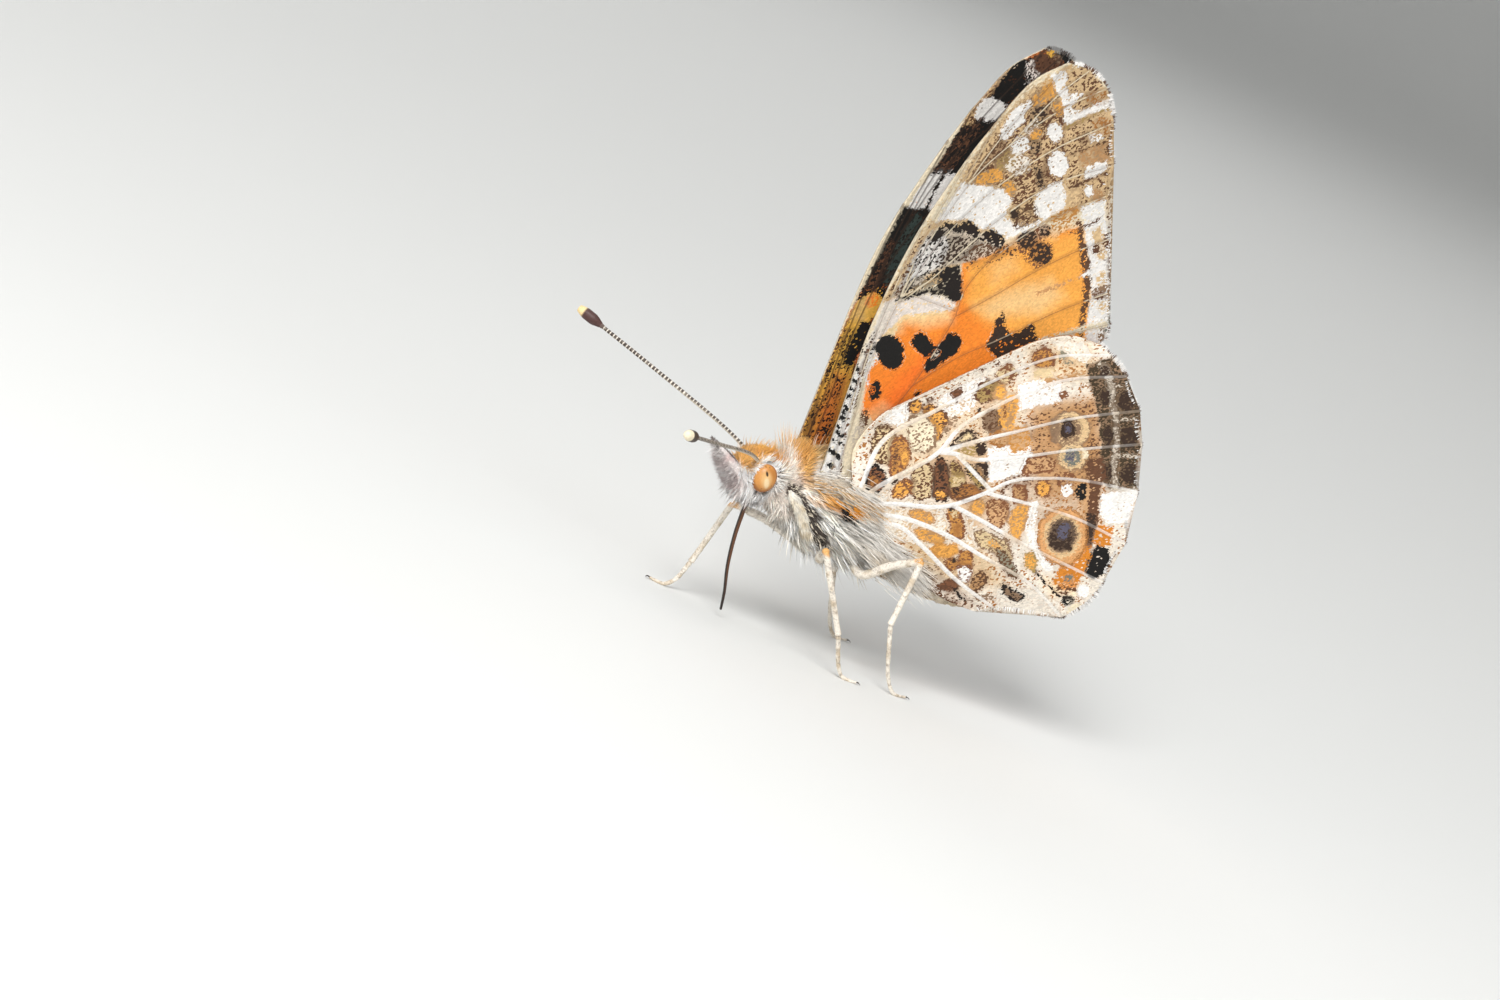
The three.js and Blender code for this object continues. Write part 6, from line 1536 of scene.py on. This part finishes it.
# Fur. A row: name, from x, to x, count, width, lift, seed, and on top, at the side and below first the lie and
# then the length
FUR = [
    ("head_hair", -4.75, -1.9, 11000, 0.06, 1.0, 70,
     [(0.25, 0, 0.5), (0.5, 0, -0.3), (-0.25, 0, -0.8)], (0.62, 0.42, 0.75)),
    ("cheek_hair", -4.4, -2.3, 13000, 0.055, 0.5, 85,
     [(0, 0, -1), (-0.2, 0, -1.0), (-0.2, 0, -1)], (0.7, 0.7, 0.8)),
    ("neck_hair", -2.4, -0.7, 7500, 0.065, 1.3, 75,
     [(0.15, 0, 0.5), (0.8, 0, 0.1), (0.1, 0, -0.7)], (1.35, 0.8, 0.7)),
    ("thorax_hair", -1.2, 6.1, 12200, 0.09, 0.5, 80,
     [(1.0, 0, 0.0), (1.0, 0, -0.2), (0.9, 0, -0.35)], (0.9, 1.35, 1.1)),
    ("abdomen_scales", 5.8, 15.8, 11000, 0.11, 0.25, 90,
     [(1.0, 0, 0), (1.0, 0, 0), (1.0, 0, 0)], (0.42, 0.42, 0.42)),
]
# The depth of an eye's socket in mm, the height of the body's middle, the share of hairs that stand out from
# the fur, and how near to an eye hair may grow at all, and grow towards it, in eye_distance
SOCKET_DEPTH, MIDDLE_HEIGHT, STRAY_SHARE = 0.3, 8.8, 0.05
EYE_RIM, EYE_CLEAR = 1.03, 1.13


def build_trunk():
    """The skin of head, thorax and abdomen, and the fur on it."""
    grid = trunk_grid()
    rows, columns = grid.shape[:2]
    flat = grid.reshape(-1, 3)
    normal = unit(np.cross(np.gradient(grid, axis=1), np.gradient(grid, axis=0))).reshape(-1, 3)
    centre = np.repeat(grid.mean(1), columns, axis=0)
    normal *= np.sign((normal * (flat - centre)).sum(1))[:, None]
    socket = SOCKET_DEPTH * smooth(1.0 - eye_distance(flat), 0, 0.1)
    flat = flat + normal * (0.05 * layered(flat, 0.8, 61, 3) * (socket == 0) - socket)[:, None]
    faces = as_triangles(quads(rows, columns))[:, ::-1]
    make_piece("body_skin", flat, faces, body_tint(flat, normal[:, 2]) * 0.85, SKIN, "fur",
               ["head", "thorax", "abdomen"])
    for name, low, high, count, width, lift, seed, lies, lengths in FUR:
        part = grid[(grid[:, 0, 0] >= low) & (grid[:, 0, 0] <= high)]
        p, n, _, uv = scatter(part, count, lambda p, n: (eye_distance(p) > EYE_RIM).astype(float))
        n *= np.sign((n * (p * (0, 1, 1) - (0, 0, MIDDLE_HEIGHT))).sum(1))[:, None]
        m = len(p)
        # Each hair lies along the skin in a direction that wanders from place to place
        going = rising(n, *lies) + 0.16 * RANDOM.standard_normal((m, 3)) + 0.3 * np.column_stack(
            [noise(p, 0.8, seed + k) for k in (1, 2, 3)])
        if name == "cheek_hair":
            p, n, going, uv = (q[(p[:, 2] < 8.95) & (np.abs(p[:, 1]) > 0.15)] for q in (p, n, going, uv))
            n, m = unit(n * (1, 1, 0.25)), len(p)
        going -= n * (going * n).sum(1)[:, None]
        clear = (eye_distance(p) > EYE_CLEAR) | ((unit(going) * unit(from_left_eye(p))).sum(1) > 0.3)
        p, n, going, uv = (q[clear] for q in (p, n, going, uv))
        m = len(p)
        stray = (RANDOM.random(m) < STRAY_SHARE) & (name != "abdomen_scales")
        going = unit(going) + n * (0.8 * stray)[:, None]
        # The skin's colour with its painted shade in the hollow, varied from hair to hair, dark ones behind the
        # eye and pale ones in the hollow
        tint = body_tint(p, n[:, 2]) * (1 + 0.17 * RANDOM.standard_normal(m))[:, None]
        hollow = shaded_hollow_distance(p)
        behind_eye = smooth(1.75 - eye_distance(p), 0, 0.2)
        dark = RANDOM.random(m) < 0.3 * behind_eye * (p[:, 0] > -2.5) * (p[:, 2] > 9.5)
        pale = (RANDOM.random(m) < 0.15) & (hollow < 0.5)
        tint = np.where(dark[:, None], linear("#4b3829"), np.where(pale[:, None], linear("#e9dcc6"), tint))
        tint = tint * np.where(RANDOM.random(m) < 0.07, 0.65, 1.06)[:, None]
        # Shorter at both ends of the neck, at the thorax's front, in the hollow and where it is dark
        long = rising(n, *lengths) * (0.7 + 0.6 * RANDOM.random(m))
        if name == "neck_hair":
            long *= np.interp(p[:, 0], [-2.4, -1.7, -0.7], [0.75, 1.0, 0.7])
        long *= np.where(dark, 0.5, 1.0) * (0.4 + 0.6 * smooth(hollow, 0.4, 1.1))
        if name == "thorax_hair":
            long *= 0.6 + 0.4 * smooth(p[:, 0], -0.6, 1.2)
        long *= np.where(stray, 1.6, 1.0)
        hair_piece(name, p, n, going, long, width * (0.7 + 0.6 * RANDOM.random(m)), tint * 0.88, tint, uv,
                   "fur", lift=lift, flat=0.3 if name == "abdomen_scales" else 0.5)


def build_side_tufts():
    table = np.array(TRUNK)
    for name, centre, radius, count, height, code in SIDE_TUFTS:
        at = centre + radius * RANDOM.standard_normal((count, 2)) * (0.75, 0.42)
        middle, wide, tall = (np.interp(at[:, 0], table[:, 0], table[:, k]) for k in (1, 2, 3))
        rise = np.clip((at[:, 1] - middle) / tall, -0.95, 0.95)
        normals = unit(np.column_stack([0 * rise, -np.sqrt(1 - rise ** 2), rise]))
        roots = np.column_stack([at[:, 0], -wide * np.sqrt(1 - rise ** 2), at[:, 1]]) + normals * height
        lie = (1.0, 0, -0.2) + 0.25 * RANDOM.standard_normal((count, 3))
        tint = linear(code) * (1 + 0.15 * RANDOM.standard_normal(count))[:, None]
        lengths = 0.3 + 0.2 * RANDOM.random(count)
        uv = np.column_stack([np.full(count, 0.5), rise * 0.4 + 0.5])
        hair_pair(f"{name}_tuft", roots, normals, lie, lengths, np.full(count, 0.07), tint * 0.8, tint, uv,
                  "fur", lift=0.1)


# Long hairs over the wing bases: wing, line of roots [x, z], spread, count, lie, length
BASE_HAIR = [
    ("hindwing", [[2.0, 11.0], [3.3, 9.9], [4.2, 9.0], [5.0, 8.2], [6.4, 7.7], [8.3, 7.2]], 0.42, 2600,
     (1.0, 0, -0.16), 1.5),
    ("forewing", [[-0.1, 11.0], [0.9, 10.85], [2.0, 10.6]], 0.28, 900, (0.9, 0, 0.25), 0.8),
]


def build_base_hair():
    for wing, line, wide, count, going, long in BASE_HAIR:
        lateral, offset = WINGS[wing][4:6]
        row = resample(np.array(line), 0.05)
        k = RANDOM.integers(0, len(row), count)
        at = row[k] + wide * RANDOM.standard_normal((count, 2))
        y = -(lateral(at[:, 0], at[:, 1]) + offset(at[:, 0], at[:, 1]) + 0.08)
        roots = np.column_stack([at[:, 0], y, at[:, 1]])
        normals = np.tile([0.0, -1.0, 0.0], (count, 1))
        lie = np.array(going) + 0.13 * RANDOM.standard_normal((count, 3)) + 0.2 * np.column_stack(
            [noise(roots, 0.9, 91), 0 * y, noise(roots, 0.9, 92)])
        lie[:, 2] -= 0.25 * smooth(9.0 - at[:, 1], 0, 1.5)
        tint = tone(roots, "#f4eee5", "#e4d6c2") * (1 + 0.08 * RANDOM.standard_normal(count))[:, None]
        golden = smooth(0.7 - np.abs(at[:, 1] - 10.5), 0, 0.5) * (RANDOM.random(count) < 0.6)
        tint = mix(tint, linear("#dcab68"), golden * 0.8)
        lengths = long * (0.6 + 0.7 * RANDOM.random(count))
        uv = np.column_stack([k / len(row), np.full(count, 0.5)])
        hair_pair(f"{wing}_base_hair", roots, normals, lie, lengths, np.full(count, 0.06), tint * 0.85, tint,
                  uv, "fur", lift=0.28)


# Dark spots of the eye: place (u, v) on its outer face, half sizes
EYE_SPOTS = [(0.06, 0.28, 0.085, 0.17), (0.1, 0.66, 0.05, 0.05), (0.32, 0.6, 0.06, 0.04),
             (-0.36, 0.5, 0.04, 0.06), (-0.3, -0.66, 0.06, 0.04), (0.36, -0.56, 0.05, 0.05)]


def build_eyes():
    rows, columns = 110, 150
    polar, turn = np.meshgrid(np.linspace(0, np.pi, rows), circle(columns), indexing="ij")
    shape = np.stack([np.sin(polar) * np.cos(turn), -np.cos(polar), np.sin(polar) * np.sin(turn)], -1)
    shape = shape.reshape(-1, 3)
    points = EYE_CENTRE + shape * EYE_HALF
    rel = points - (-3.2, 0, 9.7)
    u, v = rel[:, 0] * 0.89 + rel[:, 2] * 0.45, rel[:, 2] * 0.89 - rel[:, 0] * 0.45
    base = tone(points, "#c98a45", "#b87a3a")
    # Painted light and shade of the round eye: a pale middle, palest a little below it, and a darker rim towards
    # its outline
    base = mix(base, linear("#dcb075"), 0.85 * smooth(1 - np.hypot(u / 0.5, (v + 0.1) / 0.75), 0, 0.6))
    base = mix(base, linear("#ead2a6"), 0.85 * smooth(1 - np.hypot(u / 0.24, (v + 0.3) / 0.5), 0, 0.6))
    base = mix(base, linear("#9a5c22"), 0.9 * smooth(np.hypot(u / 0.78, v / 0.93), 0.8, 1.0))
    for at_u, at_v, half_u, half_v in EYE_SPOTS:
        spot = smooth(1 - np.hypot((u - at_u) / half_u, (v - at_v) / half_v), -0.15, 0.35)
        base = mix(base, linear("#20120a"), spot * (0.95 if half_v > 0.1 else 0.5) * (shape[:, 1] < 0))
    faces = as_triangles(quads(rows, columns))
    for side, flip in SIDES:
        make_piece(f"eye_ball_{side}", *on_side(points, faces, flip), base, LENS, "eye", [f"eye_{side}"])


PALP = [[-3.3, -0.46, 8.4], [-4.25, -0.46, 8.95], [-5.3, -0.45, 9.7], [-6.8, -0.42, 10.6]]
PALP_STRAY_SHARE = 0.09


def palp_tint(p, top):
    """White, with a dark line along the top and a dark tip."""
    c = tone(p, "#fbf3f0", "#e6d0cc", "#f6ece8")
    on_top = smooth(top + 0.15 * layered(p, 0.3, 33), 0.6, 0.85) * smooth(-p[:, 0], 4.6, 5.2)
    c = mix(c, linear("#4a342a"), on_top)
    return mix(c, linear("#4a3325"), smooth(-p[:, 0], 6.3, 6.7) * 0.8)


def build_palps():
    rows, columns = 60, 26
    line = along(PALP, rows)
    t = np.linspace(0, 1, rows)
    wide = np.interp(t, [0, 0.3, 0.6, 0.85, 1], [0.2, 0.28, 0.24, 0.13, 0.04])
    tall = np.interp(t, [0, 0.3, 0.6, 0.85, 1], [0.42, 0.47, 0.34, 0.17, 0.05])
    radii = np.column_stack([wide, tall])
    points, faces = closed_tube(line, radii, columns)
    up = np.concatenate([np.tile(np.sin(circle(columns)), rows), [0, 0]])
    tints = palp_tint(points, up) * 0.8
    for side, flip in SIDES:
        sign = np.array([1, flip, 1])
        make_piece(f"palp_core_{side}", *on_side(points, faces, flip), tints, SKIN, "fur", [f"palp_{side}"])
        p, n, lie, uv = scatter_round(line, tube(line, radii, columns), 6500)
        m = len(p)
        under = smooth(-n[:, 2], 0.0, 0.7)
        lengths = (0.2 + 0.4 * under * smooth(p[:, 0], -6.9, -5.2)) * (0.5 + 0.9 * RANDOM.random(m))
        going = lie + 0.3 * RANDOM.standard_normal((m, 3)) + n * (1.1 * under)[:, None]
        going[:, 2] -= 0.3 * under
        stray = RANDOM.random(m) < PALP_STRAY_SHARE * (under > 0.15) * (p[:, 0] > -6.5)
        going[stray] = unit(n[stray] + 0.6 * lie[stray] + 0.25 * RANDOM.standard_normal((stray.sum(), 3)))
        lengths[stray] = 0.6 + 0.35 * RANDOM.random(stray.sum())
        c = palp_tint(p, n[:, 2]) * (1 + 0.1 * RANDOM.standard_normal(m))[:, None]
        c = np.where((RANDOM.random(m) < 0.05 * under)[:, None], linear("#8b746a"), c)
        hair_piece(f"palp_hair_{side}", p * sign, n * sign, going * sign, lengths, np.where(stray, 0.06, 0.045),
                   c * 0.9, c, uv, "fur", lift=0.45, light=1.5)


# Antennae: knots of the middle line, the colours of the club and of its tip
ANTENNAE = {
    "left": ([[-3.5, -0.5, 10.3], [-5.15, -1.95, 10.9], [-9.75, -5.9, 11.6], [-14.25, -9.85, 12.25]],
             "#43342a", "#f0e3c4"),
    "right": ([[-3.5, 0.5, 10.3], [-5.2, 1.9, 11.1], [-9.85, 5.65, 12.55], [-14.4, 9.25, 13.85]],
              "#4a2c27", "#ecd19a"),
}
ANTENNA_RINGS = 56


def build_antennae():
    rows, columns = 420, 16
    t = np.linspace(0, 1, rows)
    radius = 0.11 + 0.014 * np.abs(np.sin(t * math.pi * ANTENNA_RINGS)) ** 0.5
    club = smooth(t, 0.855, 0.925)
    radius = radius + (0.37 - radius) * club * np.sqrt(np.clip((1.003 - t) / 0.045, 0, 1))
    radius[-1] = 0.03
    for side, (knots, dark, tip) in ANTENNAE.items():
        points, faces = closed_tube(along(knots, rows), radius, columns)
        tt = np.concatenate([np.repeat(t, columns), [0, 1]])
        rings = (np.abs(np.sin(tt * math.pi * ANTENNA_RINGS)) < 0.45).astype(float)
        c = mix(np.broadcast_to(linear("#3a2c23"), points.shape), linear("#e9e0d2"), rings * 0.9)
        below = np.tile(np.sin(circle(columns)) < -0.2, rows).astype(float)
        c = mix(c, linear("#d9cdb9"), 0.7 * np.concatenate([below, [0, 0]]) * smooth(0.6 - tt, 0, 0.3))
        c = mix(c, linear("#d9cdb9"), smooth(noise(points, 0.09, 44), 0.2, 0.6) * 0.3 * (1 - rings))
        c = mix(c, linear(dark), smooth(tt, 0.85, 0.88))
        c = mix(c, linear(tip), smooth(tt, 0.962, 0.972))
        make_piece(f"antenna_shaft_{side}", points, faces, c, CHITIN, "shaft", [f"antenna_{side}"])


PROBOSCIS = [[-3.15, 0, 8.6], [-2.9, 0, 7.4], [-2.65, 0, 5.4], [-2.2, 0, 3.4], [-1.6, 0, 1.7], [-1.3, 0, 0.55]]
TONGUE_RADIUS, TONGUE_RINGS = 0.14, 60


def build_proboscis():
    rows, columns = 240, 16
    line = along(PROBOSCIS, rows)
    t = np.linspace(0, 1, rows)
    radius = TONGUE_RADIUS * (1 - 0.45 * t**2) * (1 + 0.05 * np.sin(t * 2 * math.pi * TONGUE_RINGS))
    radius[-1] = 0.02
    points, faces = closed_tube(line, np.column_stack([radius, radius * 1.15]), columns, upright=(0, 1, 0))
    edge = np.abs(points[:, 1]) / TONGUE_RADIUS
    c = mix(np.broadcast_to(linear("#1f1612"), points.shape), linear("#a4632c"), smooth(edge, 0.6, 1.0) * 0.3)
    make_piece("tongue_tube", points, faces, c, CHITIN, "tongue", ["proboscis"])


# Legs: hip, end of the coxa, knee, ankle and three points of the foot
LEGS = {
    "mid_left": [[2.9, -0.9, 6.9], [2.6, -1.7, 6.1], [0.55, -5.5, 7.4], [3.9, -5.5, 2.7], [5.2, -5.15, 0.6],
                 [5.75, -5.15, 0.12], [6.65, -5.4, 0.12]],
    "mid_right": [[2.8, 0.9, 6.9], [2.5, 1.6, 6.1], [-1.85, 3.3, 6.55], [-2.75, 3.4, 2.1], [-3.2, 3.55, 0.6],
                  [-3.7, 3.75, 0.12], [-4.55, 4.2, 0.12]],
    "hind_left": [[4.8, -1.0, 7.0], [5.4, -2.3, 6.1], [7.15, -5.5, 8.8], [7.1, -5.4, 4.35], [8.9, -5.0, 0.95],
                  [9.75, -4.95, 0.12], [10.7, -4.9, 0.12]],
    "hind_right": [[4.8, 1.0, 7.0], [5.5, 2.3, 6.1], [7.6, 5.2, 8.5], [8.3, 5.5, 4.1], [9.5, 5.2, 0.85],
                   [10.2, 5.2, 0.12], [11.2, 5.2, 0.12]],
}


# The least height of a leg's surface over the floor, in mm
FLOOR_GAP = 0.004
# Hair of the femur, the tibia and the tarsus: distance from the middle, count, length, width
LEG_HAIR = [(0.27, 700, 0.4, 0.04), (0.19, 520, 0.2, 0.035), (0.13, 300, 0.15, 0.03)]


def scaly(p, knee, dark):
    """The colours of a leg's scales: pale with dark specks, and a golden knee."""
    c = np.broadcast_to(linear("#efe6d8"), p.shape)
    c = mix(c, linear("#cdbca4"), smooth(layered(p, 0.5, 71, 3), 0, 0.5))
    c = mix(c, linear("#6b5542"), dark * smooth(noise(p, 0.09, 73) + 0.4 * noise(p, 0.3, 74), 0.25, 0.5))
    cap = smooth(0.62 - np.linalg.norm(p - knee, axis=1), 0, 0.2) * smooth(p[:, 2] - knee[2], -0.35, -0.1)
    return mix(c, linear("#e0a24a"), 0.85 * cap)


def build_leg(name, joints):
    """A leg from its hip down to its two claws, and the hair on it."""
    hip, coxa, knee, ankle, *foot = (np.array(j, float) for j in joints)
    upper = along([hip, coxa, coxa + (knee - coxa) * 0.5 + (0, 0, 0.12), knee], 90)
    lower = along([knee, knee + (ankle - knee) * 0.5, ankle], 90)
    end = along([ankle, *foot], 130)
    points, faces, tints = [], [], []

    def add(line, radius, columns, dark=None):
        """A closed tube with scales, or plain and dark for a claw."""
        p, f = closed_tube(line, radius, columns)
        faces.append(f + sum(len(q) for q in points))
        points.append(p)
        tints.append(np.broadcast_to(linear("#2a1d15"), p.shape) if dark is None else scaly(p, knee, dark))

    t = np.linspace(0, 1, len(upper))
    add(upper, 0.17 + 0.13 * np.interp(t, [0, 0.25, 0.5, 0.85, 1], [0.6, 1, 0.95, 0.55, 0.45]), 20, 0.3)
    add(lower, 0.16 + 0.06 * np.interp(t, [0, 0.06, 0.3, 0.9, 1], [0.2, 0.9, 0.7, 0.4, 0.9]), 18, 0.4)
    t = np.linspace(0, 1, len(end))
    knots = np.abs(np.sin(math.pi * (t / 0.94) ** 0.8 * 5)) ** 0.35
    add(end, (0.105 + 0.045 * knots) * np.interp(t, [0, 0.05, 0.8, 1], [0.8, 1.1, 0.85, 0.5]), 14, 0.4)
    tip, before = end[-1], end[-6]
    forward = unit(tip - before)
    aside = unit(np.cross(forward, (0, 0, 1)))
    for sign in (-1, 1):
        claw = along([tip - forward * 0.1, tip + forward * 0.14 + aside * sign * 0.1 + (0, 0, 0.03),
                      tip + forward * 0.26 + aside * sign * 0.14 - (0, 0, 0.05)], 12)
        claw[:, 2] = np.maximum(claw[:, 2], 0.04)
        add(claw, 0.045 * np.linspace(1, 0.25, 12), 8)
    points = np.vstack(points)
    points[:, 2] = np.maximum(points[:, 2], FLOOR_GAP)
    make_piece(f"leg_{name}", points, np.vstack(faces), np.vstack(tints), CHITIN, "leg",
               [f"femur_{name}", f"tibia_{name}", f"tarsus_{name}"])
    build_leg_hair(name, (upper[12:], lower, end))


def build_leg_hair(name, lines):
    roots, normals, lies, lengths, widths, colours = [], [], [], [], [], []
    for line, (radius, count, long, wide) in zip(lines, LEG_HAIR):
        k = RANDOM.integers(2, len(line) - 3, count)
        forward = unit(line[k + 1] - line[k - 1])
        aside = unit(np.cross(forward, RANDOM.standard_normal((count, 3))))
        p = line[k] + aside * (radius * 0.8)
        keep = p[:, 2] > 0.12
        roots.append(p[keep])
        normals.append(aside[keep])
        lies.append((forward + 0.2 * RANDOM.standard_normal((count, 3)))[keep])
        lengths.append((long * (0.6 + 0.8 * RANDOM.random(count)))[keep])
        widths.append(np.full(keep.sum(), wide))
        shade = np.where(RANDOM.random((count, 1)) < 0.16, linear("#8b7460"), linear("#efe7da"))
        colours.append(shade[keep])
    roots, normals, lies, colours = (np.vstack(a) for a in (roots, normals, lies, colours))
    lengths, widths = np.concatenate(lengths), np.concatenate(widths)
    uv = np.column_stack([np.linspace(0, 1, len(roots)), np.full(len(roots), 0.5)])
    hair_piece(f"leg_hair_{name}", roots, normals, lies, lengths, widths, colours * 0.9, colours, uv, "leg",
               lift=0.35, rings=2)


FORELEG = [[1.4, -1.45, 6.75], [0.5, -1.95, 7.65], [-0.5, -2.05, 8.7], [-1.4, -1.7, 9.5]]
# The left foreleg's tints are its own cream colour; the right one's darker, pinker tints are painted shade
FORELEG_TINTS_RIGHT_SHADED = {"left": ("#fbf4e6", "#ead8b8"), "right": ("#e0c6b8", "#c8a290")}


def build_forelegs():
    rows, columns = 90, 18
    line = along(FORELEG, rows)
    t = np.linspace(0, 1, rows)
    radius = np.interp(t, [0, 0.15, 0.5, 0.88, 1], [0.1, 0.24, 0.32, 0.26, 0.1])
    points, faces = closed_tube(line, radius, columns)
    for side, flip in SIDES:
        codes = FORELEG_TINTS_RIGHT_SHADED[side]
        make_piece(f"foreleg_core_{side}", *on_side(points, faces, flip), tone(points, *codes) * 0.8, SKIN,
                   "leg", [f"foreleg_{side}"])
        p, n, lie, uv = scatter_round(line, tube(line, radius, columns), 2600)
        m = len(p)
        shade = tone(p, *codes) * (1 + 0.1 * RANDOM.standard_normal(m))[:, None]
        sign = np.array([1, flip, 1])
        going = -lie + 0.13 * RANDOM.standard_normal((m, 3))
        lengths = 0.35 + 0.3 * RANDOM.random(m)
        hair_piece(f"foreleg_hair_{side}", p * sign, n * sign, going * sign, lengths, np.full(m, 0.06),
                   shade * 0.85, shade, uv, "leg", lift=0.22)


# Studio, in metres: a pale floor that curves up into a round backdrop, and soft lights
FLOOR_RADIUS, CURVE_RADIUS = 0.75, 0.35
# Lights: name, azimuth, elevation, distance, size, power
LIGHTS = [("key", -40, 44, 0.42, 0.2, 1.62), ("low", -68, 5, 0.45, 0.35, 0.75),
          ("fill", 30, 20, 0.5, 0.4, 0.28), ("top", 100, 75, 0.5, 0.4, 0.45), ("back", 165, 35, 0.5, 0.35, 0.4)]
SKY_COLOUR, SKY_STRENGTH = (0.95, 0.97, 1.0, 1), 0.36


def build_studio():
    profile = [(r, 0.0) for r in np.linspace(0.0005, FLOOR_RADIUS, 16)]
    profile += [(FLOOR_RADIUS + CURVE_RADIUS * math.sin(a), CURVE_RADIUS - CURVE_RADIUS * math.cos(a))
                for a in np.linspace(0.1, math.pi / 2, 16)]
    profile += [(FLOOR_RADIUS + CURVE_RADIUS, CURVE_RADIUS + h) for h in (0.2, 0.5, 0.9)]
    columns = 96
    points = [(r * math.cos(a), r * math.sin(a), z) for r, z in profile for a in circle(columns)]
    faces = [tuple(f) for f in quads(len(profile), columns)] + [tuple(range(columns))[::-1]]
    mesh = bpy.data.meshes.new("floor")
    mesh.from_pydata(points, [], faces)
    for polygon in mesh.polygons:
        polygon.use_smooth = True
    material = bpy.data.materials.new("pale floor")
    material.use_nodes = True
    shader = material.node_tree.nodes["Principled BSDF"]
    shader.inputs["Base Color"].default_value = (0.78, 0.78, 0.76, 1)
    shader.inputs["Roughness"].default_value = 0.9
    mesh.materials.append(material)
    floor = bpy.data.objects.new("floor", mesh)
    SCENE.collection.objects.link(floor)
    for name, azimuth, elevation, distance, size, power in LIGHTS:
        away = direction(azimuth, elevation)
        data = bpy.data.lights.new(name, "AREA")
        data.size = size
        data.energy = power
        light = bpy.data.objects.new(name, data)
        light.location = TARGET + away * distance
        light.rotation_euler = away.to_track_quat("Z", "Y").to_euler()
        SCENE.collection.objects.link(light)
    world = bpy.data.worlds.new("studio")
    world.use_nodes = True
    sky = world.node_tree.nodes["Background"]
    sky.inputs["Color"].default_value = SKY_COLOUR
    sky.inputs["Strength"].default_value = SKY_STRENGTH
    SCENE.world = world
    SCENE.view_settings.view_transform = "Standard"


# The order of these calls is also the order of the random draws
for wing_name, made_plan in build_wings().items():
    build_fringe(wing_name, made_plan)
build_trunk()
build_side_tufts()
build_base_hair()
build_eyes()
build_palps()
build_antennae()
build_proboscis()
for leg_name, leg_joints in LEGS.items():
    build_leg(leg_name, leg_joints)
build_forelegs()
build_studio()
